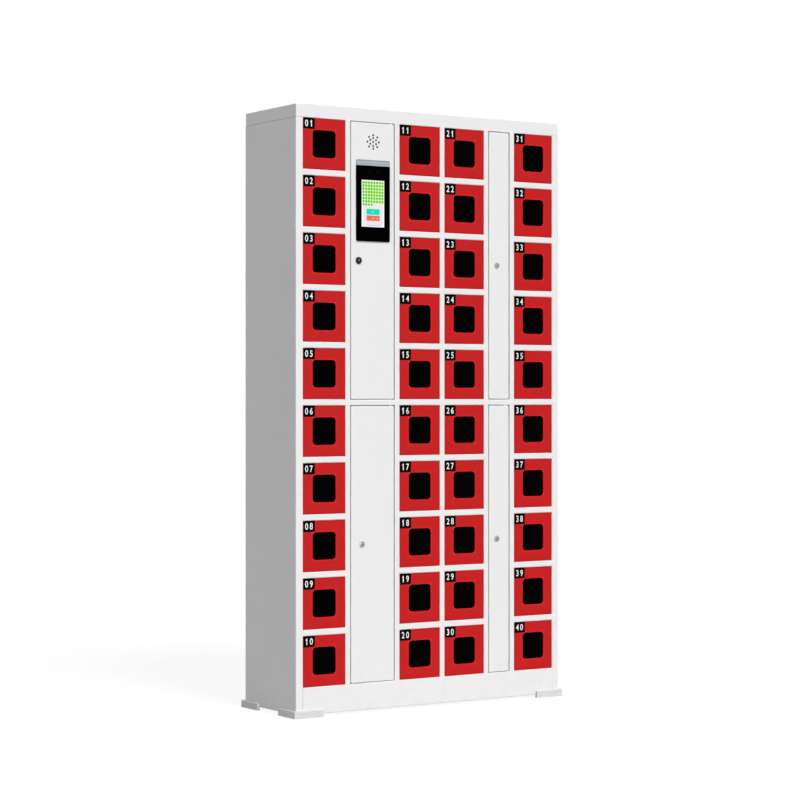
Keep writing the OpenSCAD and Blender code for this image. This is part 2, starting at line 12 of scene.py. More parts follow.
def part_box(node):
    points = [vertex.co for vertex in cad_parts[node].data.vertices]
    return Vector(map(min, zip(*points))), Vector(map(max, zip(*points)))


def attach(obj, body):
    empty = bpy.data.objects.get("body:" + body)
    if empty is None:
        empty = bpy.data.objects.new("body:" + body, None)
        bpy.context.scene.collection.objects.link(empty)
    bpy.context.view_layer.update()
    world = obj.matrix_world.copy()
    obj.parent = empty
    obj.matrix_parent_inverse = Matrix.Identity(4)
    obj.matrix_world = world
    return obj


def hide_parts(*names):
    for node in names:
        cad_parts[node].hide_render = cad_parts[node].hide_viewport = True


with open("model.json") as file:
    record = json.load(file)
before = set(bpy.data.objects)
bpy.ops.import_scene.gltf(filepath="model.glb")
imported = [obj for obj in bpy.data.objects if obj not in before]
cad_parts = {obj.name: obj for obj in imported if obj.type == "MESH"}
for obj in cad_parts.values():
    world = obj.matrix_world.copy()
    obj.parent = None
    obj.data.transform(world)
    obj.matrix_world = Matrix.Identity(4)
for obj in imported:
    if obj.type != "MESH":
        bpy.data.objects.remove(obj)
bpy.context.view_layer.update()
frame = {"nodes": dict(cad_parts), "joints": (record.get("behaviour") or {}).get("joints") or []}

MM = 0.001

# Sheet metal; the hairline keeps pieces apart that touch in the real cabinet
SHEET = 1.2 * MM
HAIRLINE = 0.1 * MM
FOLD = 1.5 * MM
CORNER_BEND = 3 * MM
FRAME_DEPTH = 20 * MM
SIDE_POST = 22 * MM
REAR_FLANGE = 22 * MM
FOLD_STEPS = 4

# Doors
CELL_GAP = 1.5 * MM
SERVICE_GAP = 4 * MM
CELL_PIN_R = 1.5 * MM
SERVICE_PIN_R = 2.5 * MM
PIN_PAST = 1.5 * MM
LEAF_DEPTH = 12 * MM
SERVICE_DEPTH = 15 * MM
SERVICE_CORNER = 4 * MM
ROWS = 10
COLUMNS = 4
WINDOW_W = 80 * MM
WINDOW_H = 82 * MM
WINDOW_R = 11.5 * MM

# Places that the frame gives
side_low, side_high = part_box("side_panels")
cap_low, cap_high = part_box("top_cap")
_, pan_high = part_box("base_pan")
_, foot_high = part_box("corner_feet")
terminal_low, terminal_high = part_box("terminal_housing")
screen_low, screen_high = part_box("terminal_screen")
RIGHT = side_high.x
FRONT, BACK = side_low.y, side_high.y
UNDERSIDE = side_low.z
GRID_BOTTOM, GRID_TOP = pan_high.z, cap_low.z
BACK_SHEET = BACK - 2 * SHEET - HAIRLINE
BEND_LEFT = side_low.x + CORNER_BEND + HAIRLINE

Leaf = namedtuple("Leaf", "left bottom right top")


def pin_reach(gap):
    """How far a hinge pin stands out of its leaf, over the gap and through the rail's flange."""
    return gap + SHEET + PIN_PAST


def leaf_box(node, gap):
    """Edges of a door's leaf, without its hinge pins."""
    low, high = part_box(node)
    return Leaf(low.x, low.z + pin_reach(gap), high.x, high.z - pin_reach(gap))


def door_name(column, row):
    return f"door_{column * ROWS + row + 1:02d}"


cell_leaf = {door_name(c, r): leaf_box(door_name(c, r), CELL_GAP)
             for c in range(COLUMNS) for r in range(ROWS)}
top_leaves = [cell_leaf[door_name(c, 0)] for c in range(COLUMNS)]
columns_x = [(leaf.left - CELL_GAP, leaf.right + CELL_GAP) for leaf in top_leaves]
wide_gap, middle_gap, narrow_gap = [(here[1], after[0]) for here, after in zip(columns_x, columns_x[1:])]
WIDE_X = sum(wide_gap) / 2
NARROW_X = sum(narrow_gap) / 2
first_leaf = cell_leaf["door_01"]
ROW_PITCH = first_leaf.bottom - cell_leaf["door_02"].bottom
LEAF_W = first_leaf.right - first_leaf.left
LEAF_H = first_leaf.top - first_leaf.bottom
CELL_HEIGHT = LEAF_H + 2 * CELL_GAP
service_leaf = {name: leaf_box(name, SERVICE_GAP) for name in frame["nodes"]
                if name.startswith("service_door")}
hinge_at = {joint["child"]: Vector(joint["pos_m"]) for joint in frame["joints"]}
hinged_left = {joint["child"]: joint["axis"][2] < 0 for joint in frame["joints"]
               if joint["child"].startswith("door")}

# Camera, with the place, heading, lens and shift found from the photograph's perspective
CAMERA_X = -3.8880
CAMERA_BEFORE_FRONT = 5.8089
CAMERA_Z = 0.9516
CAMERA_HEADING = -33
LENS_MM = 102.98
SENSOR_MM = 36
LENS_SHIFT = -0.0061


def make_camera():
    data = bpy.data.cameras.new("camera")
    data.lens = LENS_MM
    data.sensor_width = SENSOR_MM
    data.shift_y = LENS_SHIFT
    camera = bpy.data.objects.new("camera", data)
    camera.location = (CAMERA_X, FRONT - CAMERA_BEFORE_FRONT, CAMERA_Z)
    camera.rotation_euler = (math.radians(90), 0, math.radians(CAMERA_HEADING))
    bpy.context.scene.collection.objects.link(camera)
    bpy.context.scene.camera = camera


# Node helpers
def add_node(tree, kind, inputs=(), **settings):
    node = tree.nodes.new(kind)
    for key, value in settings.items():
        setattr(node, key, value)
    for key, value in dict(inputs).items():
        if isinstance(value, bpy.types.NodeSocket):
            tree.links.new(value, node.inputs[key])
        else:
            node.inputs[key].default_value = value
    return node


def math_node(tree, operation, first, second=0.0, third=0.0):
    node = add_node(tree, "ShaderNodeMath", {0: first, 1: second, 2: third}, operation=operation)
    return node.outputs[0]


def noise(tree, place, scale, detail, roughness=0.5, distortion=0.0):
    node = add_node(tree, "ShaderNodeTexNoise", {"Vector": place, "Scale": scale, "Detail": detail,
                                                 "Roughness": roughness, "Distortion": distortion})
    return node.outputs[0]


def ramp(tree, value, none_at, full_at, **settings):
    """Mask that runs from 0 to 1 between two values."""
    node = add_node(tree, "ShaderNodeMapRange", {"Value": value, "From Min": none_at, "From Max": full_at},
                    **settings)
    return node.outputs[0]


def mix_colours(tree, factor, first, second):
    return add_node(tree, "ShaderNodeMix", {0: factor, 6: first, 7: second}, data_type="RGBA").outputs[2]


def new_tree(name, kind, inputs, outputs):
    """Node group with named sockets; an input is (name, type, default)."""
    tree = bpy.data.node_groups.new(name, kind)
    for label, socket, default in inputs:
        made = tree.interface.new_socket(label, in_out="INPUT", socket_type="NodeSocket" + socket)
        if default is not None:
            made.default_value = default
    for label, socket in outputs:
        tree.interface.new_socket(label, in_out="OUTPUT", socket_type="NodeSocket" + socket)
    return tree, tree.nodes.new("NodeGroupInput").outputs, tree.nodes.new("NodeGroupOutput").inputs


def shader_group(name, outputs, **values):
    """Shader node group that reads a place and named values, and puts out masks and heights."""
    inputs = [("Place", "Vector", None)]
    inputs += [(key.replace("_", " "), "Float", default) for key, default in values.items()]
    return new_tree(name, "ShaderNodeTree", inputs, [(label, "Float") for label in outputs])


# Shader groups for grain, dust, painted edge shade and highlight, handling and drawn metal
def make_paint_grain():
    """Fine orange peel of powder coat or moulded plastic, and slow patches of sheen."""
    tree, given, out = shader_group("paint_grain", ["Height", "Patches"], Grain_Size=2 * MM,
                                    Patch_Size=200 * MM)
    fine = noise(tree, given["Place"], math_node(tree, "DIVIDE", 1, given["Grain Size"]), 2.0, 0.55)
    slow = noise(tree, given["Place"], math_node(tree, "DIVIDE", 1, given["Patch Size"]), 4.0, 0.6)
    tree.links.new(fine, out["Height"])
    tree.links.new(ramp(tree, slow, 0.35, 0.65), out["Patches"])
    return tree


def make_settled_dust():
    """Mask of thin dust and scuffs, strongest at the floor and gone at the reach."""
    tree, given, out = shader_group("settled_dust", ["Mask"], Reach=250 * MM, Amount=0.5, Scale=38.0)
    height = add_node(tree, "ShaderNodeSeparateXYZ", {0: given["Place"]}).outputs["Z"]
    fade = ramp(tree, height, given["Reach"], 0.0)
    specks = ramp(tree, noise(tree, given["Place"], given["Scale"], 6.0, 0.65), 0.42, 0.75)
    both = math_node(tree, "MULTIPLY", fade, specks)
    tree.links.new(math_node(tree, "MULTIPLY", both, given["Amount"]), out["Mask"])
    return tree


def make_edge_build():
    """Masks of painted shade along a leaf's border and of a painted highlight round its window."""
    tree, given, out = shader_group(
        "edge_build", ["Border", "Window"], Half_Width=LEAF_W / 2, Half_Height=LEAF_H / 2,
        Window_Half_Width=WINDOW_W / 2, Window_Half_Height=WINDOW_H / 2, Border_Reach=5 * MM,
        Window_Reach=6 * MM)
    split = add_node(tree, "ShaderNodeSeparateXYZ", {0: given["Place"]})
    across = math_node(tree, "ABSOLUTE", split.outputs["X"])
    up = math_node(tree, "ABSOLUTE", split.outputs["Y"])
    to_side = math_node(tree, "SUBTRACT", given["Half Width"], across)
    to_end = math_node(tree, "SUBTRACT", given["Half Height"], up)
    past_side = math_node(tree, "SUBTRACT", across, given["Window Half Width"])
    past_end = math_node(tree, "SUBTRACT", up, given["Window Half Height"])
    inside = math_node(tree, "MINIMUM", to_side, to_end)
    outside = math_node(tree, "MAXIMUM", past_side, past_end)
    for distance, name in ((inside, "Border"), (outside, "Window")):
        mask = ramp(tree, distance, given[f"{name} Reach"], 0.0, interpolation_type="SMOOTHSTEP")
        tree.links.new(mask, out[name])
    return tree


def make_handling():
    """Mask of faint wipes and finger marks on glass and acrylic."""
    tree, given, out = shader_group("handling", ["Mask"], Size=50 * MM, Amount=0.5)
    stretched = add_node(tree, "ShaderNodeMapping", {"Vector": given["Place"], "Scale": (1.0, 1.0, 0.45)})
    scale = math_node(tree, "DIVIDE", 1, given["Size"])
    smear = noise(tree, stretched.outputs[0], scale, 5.0, 0.6, distortion=0.8)
    tree.links.new(math_node(tree, "MULTIPLY", ramp(tree, smear, 0.5, 0.8), given["Amount"]), out["Mask"])
    return tree


def make_metal_lay():
    """Fine parallel lines of turned, rolled or brushed metal, and its slow blotches."""
    tree, given, out = shader_group("metal_lay", ["Height", "Blotches"], Line_Size=0.6 * MM,
                                    Blotch_Size=10 * MM)
    drawn = add_node(tree, "ShaderNodeMapping", {"Vector": given["Place"], "Scale": (0.04, 1.0, 1.0)})
    lines = noise(tree, drawn.outputs[0], math_node(tree, "DIVIDE", 1, given["Line Size"]), 2.0)
    cells = add_node(tree, "ShaderNodeTexVoronoi",
                     {"Vector": given["Place"], "Scale": math_node(tree, "DIVIDE", 1, given["Blotch Size"])},
                     feature="SMOOTH_F1")
    tree.links.new(lines, out["Height"])
    tree.links.new(cells.outputs["Distance"], out["Blotches"])
    return tree


paint_grain = make_paint_grain()
settled_dust = make_settled_dust()
edge_build = make_edge_build()
handling = make_handling()
metal_lay = make_metal_lay()


class Finish:
    """A material with one Principled shader, built up by short calls."""

    def __init__(self, name, colour, roughness, specular=0.5, metallic=0.0):
        self.material = bpy.data.materials.new(name)
        self.material.use_nodes = True
        self.tree = self.material.node_tree
        self.shader = self.tree.nodes["Principled BSDF"]
        self.colour = (*colour, 1.0)
        self.roughness = roughness
        self.shader.inputs["Base Color"].default_value = self.colour
        self.shader.inputs["Roughness"].default_value = roughness
        self.shader.inputs["Specular IOR Level"].default_value = specular
        self.shader.inputs["Metallic"].default_value = metallic
        self.place = add_node(self.tree, "ShaderNodeTexCoord").outputs["Object"]

    def group(self, tree, **values):
        node = add_node(self.tree, "ShaderNodeGroup", node_tree=tree)
        self.tree.links.new(self.place, node.inputs["Place"])
        for key, value in values.items():
            node.inputs[key.replace("_", " ")].default_value = value
        return node.outputs

    def tint(self, mask, colour, share=1.0):
        """Moves the colour towards another one where the mask is high."""
        now = self.shader.inputs["Base Color"]
        base = now.links[0].from_socket if now.is_linked else self.colour
        factor = math_node(self.tree, "MULTIPLY", mask, share)
        self.tree.links.new(mix_colours(self.tree, factor, base, (*colour, 1.0)), now)

    def vary_roughness(self, mask, change):
        now = self.shader.inputs["Roughness"]
        base = now.links[0].from_socket if now.is_linked else self.roughness
        self.tree.links.new(math_node(self.tree, "MULTIPLY_ADD", mask, change, base), now)

    def bump(self, height, distance):
        node = add_node(self.tree, "ShaderNodeBump",
                        {"Height": height, "Distance": distance, "Strength": 1.0})
        self.tree.links.new(node.outputs[0], self.shader.inputs["Normal"])


def shaded(colour, share):
    return tuple(share * c for c in colour)


def powder_coat(name, colour, shade, roughness, specular):
    finish = Finish(name, colour, roughness, specular)
    coat = finish.group(paint_grain, Grain_Size=1.6 * MM, Patch_Size=300 * MM)
    finish.tint(coat["Patches"], shade, 0.5)
    finish.vary_roughness(coat["Patches"], 0.05)
    finish.vary_roughness(coat["Height"], 0.06)
    finish.bump(coat["Height"], 0.06 * MM)
    return finish


def make_cabinet_white():
    finish = powder_coat("cabinet_white", (0.80, 0.80, 0.80), (0.785, 0.786, 0.788), 0.42, 0.5)
    dust = finish.group(settled_dust, Reach=180 * MM, Amount=0.35)
    finish.tint(dust["Mask"], (0.52, 0.50, 0.47), 0.5)
    finish.vary_roughness(dust["Mask"], 0.2)
    return finish.material


def make_door_red():
    """Powder coat with painted shade along the leaf's border and a painted highlight round its window."""
    finish = powder_coat("door_red", (0.542, 0.0065, 0.0070), (0.52, 0.0058, 0.0065), 0.38, 0.12)
    finish.place = add_node(finish.tree, "ShaderNodeUVMap", uv_map="leaf_place").outputs[0]
    painted_edge = finish.group(edge_build)
    # Painted highlight round the window, then painted shade along the border, both in the leaf's own red
    finish.tint(painted_edge["Window"], (0.70, 0.012, 0.016), 0.8)
    finish.tint(painted_edge["Border"], (0.50, 0.001, 0.001), 0.8)
    return finish.material


def make_plastic(name, colour, roughness, grain=0.9 * MM, depth=0.05 * MM, specular=0.5):
    finish = Finish(name, colour, roughness, specular)
    moulded = finish.group(paint_grain, Grain_Size=grain, Patch_Size=40 * MM)
    finish.tint(moulded["Patches"], shaded(colour, 0.93), 0.6)
    finish.vary_roughness(moulded["Patches"], 0.08)
    finish.bump(moulded["Height"], depth)
    return finish.material


def make_glossy_black(name, colour, roughness, specular):
    finish = Finish(name, colour, roughness, specular)
    marks = finish.group(handling, Size=60 * MM, Amount=0.6)
    finish.vary_roughness(marks["Mask"], 0.12)
    finish.tint(marks["Mask"], (0.002, 0.002, 0.002), 0.5)
    return finish.material


def metal_finish(name, colour, roughness, line=0.6 * MM, blotch=10 * MM):
    finish = Finish(name, colour, roughness, metallic=1.0)
    lay = finish.group(metal_lay, Line_Size=line, Blotch_Size=blotch)
    finish.tint(lay["Blotches"], shaded(colour, 0.86), 0.7)
    finish.vary_roughness(lay["Blotches"], 0.1)
    finish.bump(lay["Height"], 0.01 * MM)
    return finish


def make_metal(*given, **values):
    return metal_finish(*given, **values).material


# Bands of painted shade across the terminal's top strip, along its top edge and over its groove: drop below
# its top, half width and shade
STRIP_LINE = 12 * MM
TOP_EDGE_SHADE_BAND = (2.4 * MM, 2.1 * MM, 0.70)
GROOVE_SHADE_BAND = (STRIP_LINE, 1.2 * MM, 0.82)
BAND_BLUR = 0.2 * MM


def make_terminal_strip_finish():
    """Blasted blue-grey aluminium, with painted shade in a band along its top edge and in a finer band over
    its groove.
    """
    finish = metal_finish("terminal_aluminium", (0.281, 0.319, 0.346), 0.36, line=0.8 * MM, blotch=30 * MM)
    height = add_node(finish.tree, "ShaderNodeSeparateXYZ", {0: finish.place}).outputs["Z"]
    for drop, half, shade in (TOP_EDGE_SHADE_BAND, GROOVE_SHADE_BAND):
        past = math_node(finish.tree, "SUBTRACT", height, terminal_high.z - drop)
        away = math_node(finish.tree, "ABSOLUTE", past)
        band = ramp(finish.tree, away, half + BAND_BLUR, half - BAND_BLUR)
        # Painted shade: the strip's colour darkens inside each band
        finish.tint(band, shaded(finish.colour[:3], shade))
    return finish.material


def make_lit(name, colour, fade=0.94):
    """Part of the lit display: an even glow that falls off a little in slow patches."""
    finish = Finish(name, shaded(colour, 0.05), 0.3, 0.1)
    glow = finish.group(paint_grain, Grain_Size=0.6 * MM, Patch_Size=50 * MM)
    light = mix_colours(finish.tree, glow["Patches"], (*colour, 1.0), (*shaded(colour, fade), 1.0))
    finish.tree.links.new(light, finish.shader.inputs["Emission Color"])
    finish.shader.inputs["Emission Strength"].default_value = 1.0
    return finish.material


WHITE = make_cabinet_white()
RED = make_door_red()
ACRYLIC = make_glossy_black("window_acrylic", (0.0003, 0.0003, 0.0003), 0.09, 0.008)
PLATE = make_plastic("plate_black", (0.0004, 0.0004, 0.0004), 0.5, specular=0.01)
NUMBER = make_plastic("number_white", (0.84, 0.84, 0.84), 0.5)
ZINC = make_metal("zinc_plate", (0.56, 0.57, 0.60), 0.34)
CHROME = make_metal("lock_nickel", (0.29, 0.28, 0.27), 0.36, line=0.4 * MM, blotch=4 * MM)
DULL_STEEL = make_metal("lock_core", (0.20, 0.22, 0.26), 0.30, line=0.4 * MM, blotch=3 * MM)
LOCK_BLACK = make_plastic("lock_black", (0.003, 0.003, 0.004), 0.3, specular=0.12)
LOCK_RED = make_plastic("lock_red_mark", (0.72, 0.02, 0.02), 0.35)
# Near-black fill for the key slots: painted shade of a deep keyway
KEYWAY_PAINTED_SHADE = make_plastic("slot_dark", (0.004, 0.004, 0.005), 0.6, specular=0.05)
FOOT = make_plastic("foot_plastic", (0.665, 0.665, 0.665), 0.36, grain=1.4 * MM)
ALUMINIUM = make_terminal_strip_finish()
TERMINAL_BLACK = make_plastic("terminal_plastic", (0.001, 0.001, 0.001), 0.4, specular=0.02)
GLASS = make_glossy_black("terminal_glass", (0.0003, 0.0003, 0.0003), 0.05, 0.008)
LENS = make_glossy_black("lens_glass", (0.0015, 0.0015, 0.0022), 0.04, 0.08)
CASE_DARK = make_plastic("lock_case_dark", (0.05, 0.05, 0.055), 0.5, grain=1.2 * MM)
CASE_GREY = make_plastic("case_grey", (0.42, 0.43, 0.44), 0.5, grain=1.2 * MM)
CASE_METAL = make_metal("supply_case_metal", (0.50, 0.51, 0.53), 0.4, blotch=20 * MM)
RUBBER = make_plastic("rubber_black", (0.012, 0.012, 0.012), 0.75, grain=0.6 * MM, specular=0.3)
CONE = make_plastic("speaker_cone", (0.004, 0.004, 0.004), 0.8, grain=0.7 * MM, depth=0.1 * MM, specular=0.1)
SCREEN_WHITE = make_lit("screen_white", (0.93, 0.93, 0.97))
SCREEN_GREY = make_lit("screen_grey", (0.80, 0.80, 0.82))
SCREEN_LIME = make_lit("screen_lime", (0.70, 0.85, 0.43))
TILE_GREEN = make_lit("screen_tile_green", (0.08, 0.64, 0.0), fade=0.9)
BUTTON_TEAL = make_lit("screen_button_teal", (0.0, 0.72, 0.50))
BUTTON_CORAL = make_lit("screen_button_coral", (0.86, 0.16, 0.085))
LINE_PINK = make_lit("screen_line_pink", (0.88, 0.62, 0.66))
LINE_BLUE = make_lit("screen_line_blue", (0.42, 0.48, 0.86))


# Mesh helpers
def add_object(name, data):
    piece = bpy.data.objects.new(name, data)
    bpy.context.scene.collection.objects.link(piece)
    return piece


def solid(name, points, faces, material):
    """Closed mesh with merged doubles and faces turned outwards."""
    mesh = bpy.data.meshes.new(name)
    mesh.from_pydata(points, [], faces)
    work = bmesh.new()
    work.from_mesh(mesh)
    bmesh.ops.remove_doubles(work, verts=work.verts, dist=1e-7)
    bmesh.ops.recalc_face_normals(work, faces=work.faces)
    work.to_mesh(mesh)
    work.free()
    mesh.materials.append(material)
    return add_object(name, mesh)


def evaluated_mesh(piece):
    graph = bpy.context.evaluated_depsgraph_get()
    return bpy.data.meshes.new_from_object(piece.evaluated_get(graph), depsgraph=graph)


def bake(piece):
    """Turns the piece's modifiers into a plain mesh."""
    mesh = evaluated_mesh(piece)
    piece.modifiers.clear()
    piece.data = mesh
    mesh.name = piece.name
    return piece


def even_shading(piece, angle=32):
    """Smooth bends beside flat faces, baked into the mesh."""
    piece.data.shade_smooth()
    piece.data.set_sharp_from_angle(angle=math.radians(angle))
    piece.modifiers.new("even_shading", "WEIGHTED_NORMAL").keep_sharp = True
    return bake(piece)


def taken_mesh(piece):
    """The mesh of a pattern piece, whose object isn't needed any more."""
    mesh = piece.data
    bpy.data.objects.remove(piece)
    return mesh


def placed_copy(name, mesh, x, y, z):
    copy = mesh.copy()
    copy.name = name
    copy.transform(Matrix.Translation((x, y, z)))
    return add_object(name, copy)


def extent(mesh):
    xs, ys, zs = zip(*(v.co for v in mesh.vertices))
    return Vector((min(xs), min(ys), min(zs))), Vector((max(xs), max(ys), max(zs)))


def join(name, pieces):
    pieces = list(pieces)
    with bpy.context.temp_override(active_object=pieces[0], selected_editable_objects=pieces):
        bpy.ops.object.join()
    pieces[0].name = name
    pieces[0].data.name = name
    return pieces[0]


def put(piece, body, slot, *replaced):
    """Lets a finished piece ride on its body, and hides the nodes it stands for; the slot argument is not
    used.
    """
    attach(piece, body)
    if replaced:
        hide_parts(*replaced)
    return piece


# Outlines, each a function of its inset
def rounded(x0, z0, x1, z1, r=0.0, steps=FOLD_STEPS, top_r=None):
    """Rectangle with round corners; the top ones may have a radius of their own."""
    upper = r if top_r is None else top_r

    def outline(inset):
        corners = ((x1, z0, -1, 1, -90, r), (x1, z1, -1, -1, 0, upper), (x0, z1, 1, -1, 90, upper),
                   (x0, z0, 1, 1, 180, r))
        points = []
        for x, z, sx, sz, start, corner_r in corners:
            radius = max(corner_r - inset, 0.02 * MM)
            for k in range(steps + 1):
                angle = math.radians(start + 90 * k / steps)
                points.append((x + sx * (inset + radius) + radius * math.cos(angle),
                               z + sz * (inset + radius) + radius * math.sin(angle)))
        return points
    return outline


def circle(x, z, r, steps=24):
    """Round or, with few steps, many-sided outline."""
    def outline(inset):
        angles = [2 * math.pi * k / steps for k in range(steps)]
        return [(x + (r - inset) * math.cos(a), z + (r - inset) * math.sin(a)) for a in angles]
    return outline


# Rows of (inset, depth) that a panel's outline runs through, from its face backwards
def round_edge(radius, steps=FOLD_STEPS):
    """Quarter round edge, from the face to the side."""
    angles = [math.pi / 2 * k / steps for k in range(steps + 1)]
    return [(radius * (1 - math.sin(a)), radius * (1 - math.cos(a))) for a in angles]


def fold(radius, depth):
    """Border folded back from the face: bend, flange, cut edge and inner side."""
    return round_edge(radius) + [(0, depth), (SHEET, depth), (SHEET, SHEET)]


def cut_edge(broken=0.15 * MM, depth=SHEET):
    """Border or hole with a broken front edge, cut through the sheet or sunk to a depth."""
    return [(broken, 0), (0, broken), (0, depth)]


def broken_edges(depth, broken):
    """Side of a plate with its front and back edges broken."""
    return [(broken, 0), (0, broken), (0, depth - broken), (broken, depth)]


def block(depth, bevel):
    """Side of a solid block with round front and back edges."""
    front_edge = round_edge(bevel, 2)
    return front_edge + [(inset, depth - d) for inset, d in reversed(front_edge)]


# Places that turn a panel's or a turned piece's own (u, v, depth) into the cabinet's axes
def at_front(y):
    return lambda u, v, w: (u, y + w, v)


def at_back(y):
    return lambda u, v, w: (u, y - w, v)


def at_top(z):
    return lambda u, v, w: (u, v, z - w)


def about(x, z, y, side=1):
    """Axis along Y; side -1 points the piece forwards."""
    return lambda u, v, w: (x + u, y + side * w, z + v)


# Solids
def panel(name, material, place, outline, rows, holes=()):
    """Closed solid: the outline swept through rows of (inset, depth), with holes in its face.

    A hole is (outline, rows, blind). A blind hole gets a floor, the others go through to the back."""
    points = []
    faces = []

    def sweep(shape, shape_rows):
        rings = []
        for inset, depth in shape_rows:
            loop = shape(inset)
            rings.append(range(len(points), len(points) + len(loop)))
            points.extend((u, v, depth) for u, v in loop)
        for near, far in zip(rings, rings[1:]):
            step = far[0] - near[0]
            faces.extend((i, i + step, j + step, j) for i, j in zip(near, [*near[1:], near[0]]))
        return rings[0], rings[-1]

    def close(loops):
        order = [i for loop in loops for i in loop]
        flat = [[Vector((*points[i][:2], 0)) for i in loop] for loop in loops]
        faces.extend(tuple(order[k] for k in triangle) for triangle in tessellate_polygon(flat))

    first, last = sweep(outline, rows)
    near_loops, far_loops = [first], [last]
    for shape, shape_rows, blind in holes:
        first, last = sweep(shape, [(-inset, depth) for inset, depth in shape_rows])
        near_loops.append(first)
        if blind:
            close([last])
        else:
            far_loops.append(last)
    close(near_loops)
    close(far_loops)
    return solid(name, [place(*p) for p in points], faces, material)


def turned(name, material, profile, place, steps=40, ring=False):
    """Solid of revolution from rows of (radius, depth): closed at both ends, or a closed ring."""
    points = [(u, v, depth) for radius, depth in profile for u, v in circle(0, 0, radius, steps)(0)]
    faces = []
    count = len(profile)
    for row in range(count if ring else count - 1):
        a, b = row * steps, (row + 1) % count * steps
        faces.extend((a + i, b + i, b + (i + 1) % steps, a + (i + 1) % steps) for i in range(steps))
    if not ring:
        faces += [tuple(range(steps)), tuple(range(len(points) - steps, len(points)))]
    return solid(name, [place(*p) for p in points], faces, material)


def in_mm(*rows):
    """Profile rows of (radius, depth), given in millimetres."""
    return [(radius * MM, depth * MM) for radius, depth in rows]


def vent_slots(x, z, width, height, pitch, count, corner_r, depth, steps=FOLD_STEPS):
    """Column of blind ventilation slots, centred on x, with the lowest one at z."""
    bottoms = [z + i * pitch for i in range(count)]
    return [(rounded(x - width / 2, low, x + width / 2, low + height, corner_r, steps),
             cut_edge(0.2 * MM, depth), True) for low in bottoms]


# Geometry node trees
GRID_INPUTS = [("Columns", "Int", 1), ("Column Step", "Vector", None),
               ("Rows", "Int", 1), ("Row Step", "Vector", None), ("Finish", "Material", None)]


def repeat_nodes(tree, geometry, given):
    """Instances of the geometry on a grid of Columns by Rows, made real."""
    columns, rows = [add_node(tree, "GeometryNodeMeshLine",
                              {"Count": given[f"{name}s"], "Offset": given[f"{name} Step"]}, mode="OFFSET")
                     for name in ("Column", "Row")]
    in_columns = add_node(tree, "GeometryNodeInstanceOnPoints",
                          {"Points": columns.outputs[0], "Instance": geometry})
    in_rows = add_node(tree, "GeometryNodeInstanceOnPoints",
                       {"Points": rows.outputs[0], "Instance": in_columns.outputs[0]})
    real = add_node(tree, "GeometryNodeRealizeInstances", {0: in_rows.outputs[0]})
    finish = add_node(tree, "GeometryNodeSetMaterial",
                      {"Geometry": real.outputs[0], "Material": given["Finish"]})
    return finish.outputs[0]


def make_repeat_tree():
    """Repeats rivets, screws, lock cases and display tiles on a grid."""
    tree, given, out = new_tree("repeat_on_grid", "GeometryNodeTree",
                                [("Geometry", "Geometry", None)] + GRID_INPUTS, [("Geometry", "Geometry")])
    tree.links.new(repeat_nodes(tree, given["Geometry"], given), out["Geometry"])
    return tree


def make_section_tree():
    """Folds sheet metal: a bent line runs along a vector and is repeated on a grid."""
    tree, given, out = new_tree(
        "folded_section", "GeometryNodeTree",
        [("Geometry", "Geometry", None), ("Bend Steps", "Int", 4), ("Run", "Vector", None)] + GRID_INPUTS,
        [("Geometry", "Geometry")])
    line = add_node(tree, "GeometryNodeMeshToCurve", {"Mesh": given["Geometry"]})
    bend = add_node(tree, "GeometryNodeInputNamedAttribute", {"Name": "bend"}, data_type="FLOAT")
    bent = add_node(tree, "GeometryNodeFilletCurve",
                    {"Curve": line.outputs[0], "Count": given["Bend Steps"], "Radius": bend.outputs[0]},
                    mode="POLY")
    edges = add_node(tree, "GeometryNodeCurveToMesh", {"Curve": bent.outputs[0]})
    skin = add_node(tree, "GeometryNodeExtrudeMesh",
                    {"Mesh": edges.outputs[0], "Offset": given["Run"], "Offset Scale": 1.0}, mode="EDGES")
    tree.links.new(repeat_nodes(tree, skin.outputs[0], given), out["Geometry"])
    return tree


repeat_tree = make_repeat_tree()
section_tree = make_section_tree()


def run_tree(piece, tree, **values):
    """Adds the tree as a modifier, with each input set by its socket's identifier."""
    modifier = piece.modifiers.new(tree.name, "NODES")
    modifier.node_group = tree
    for item in tree.interface.items_tree:
        key = item.name.replace(" ", "_")
        if item.in_out == "INPUT" and key in values:
            modifier[item.identifier] = values[key]
    return piece


def repeated(piece, columns=1, column_step=(0, 0, 0), rows=1, row_step=(0, 0, 0)):
    run_tree(piece, repeat_tree, Columns=columns, Column_Step=column_step, Rows=rows, Row_Step=row_step,
             Finish=piece.data.materials[0])
    return bake(piece)


def section(name, line, run, rows=1, row_step=(0, 0, 0)):
    """Folded sheet section; the line is its outer skin as (point, bend radius) rows."""
    mesh = bpy.data.meshes.new(name)
    mesh.from_pydata([p for p, _ in line], [(i, i + 1) for i in range(len(line) - 1)], [])
    bend = mesh.attributes.new("bend", "FLOAT", "POINT")
    for i, (_, radius) in enumerate(line):
        bend.data[i].value = radius
    piece = add_object(name, mesh)
    run_tree(piece, section_tree, Bend_Steps=FOLD_STEPS + 1, Run=run, Columns=1, Column_Step=(0, 0, 0),
             Rows=rows, Row_Step=row_step, Finish=WHITE)
    wall = piece.modifiers.new("sheet", "SOLIDIFY")
    wall.thickness = SHEET
    wall.offset = -1
    wall.use_even_offset = True
    return bake(piece)


def upright_channel(name, x0, x1, z0, z1):
    """Post between two openings, folded back at both sides."""
    y = FRONT + FRAME_DEPTH
    line = [((x0, y, z0), 0), ((x0, FRONT, z0), FOLD), ((x1, FRONT, z0), FOLD), ((x1, y, z0), 0)]
    return section(name, line, (0, 0, z1 - z0))


def level_channel(name, x0, x1, z0, z1, rows=1, pitch=0.0):
    """Rail between two openings, folded back along its top and bottom."""
    y = FRONT + FRAME_DEPTH
    line = [((x0, y, z1), 0), ((x0, FRONT, z1), FOLD), ((x0, FRONT, z0), FOLD), ((x0, y, z0), 0)]
    return section(name, line, (x1 - x0, 0, 0), rows, (0, 0, pitch))


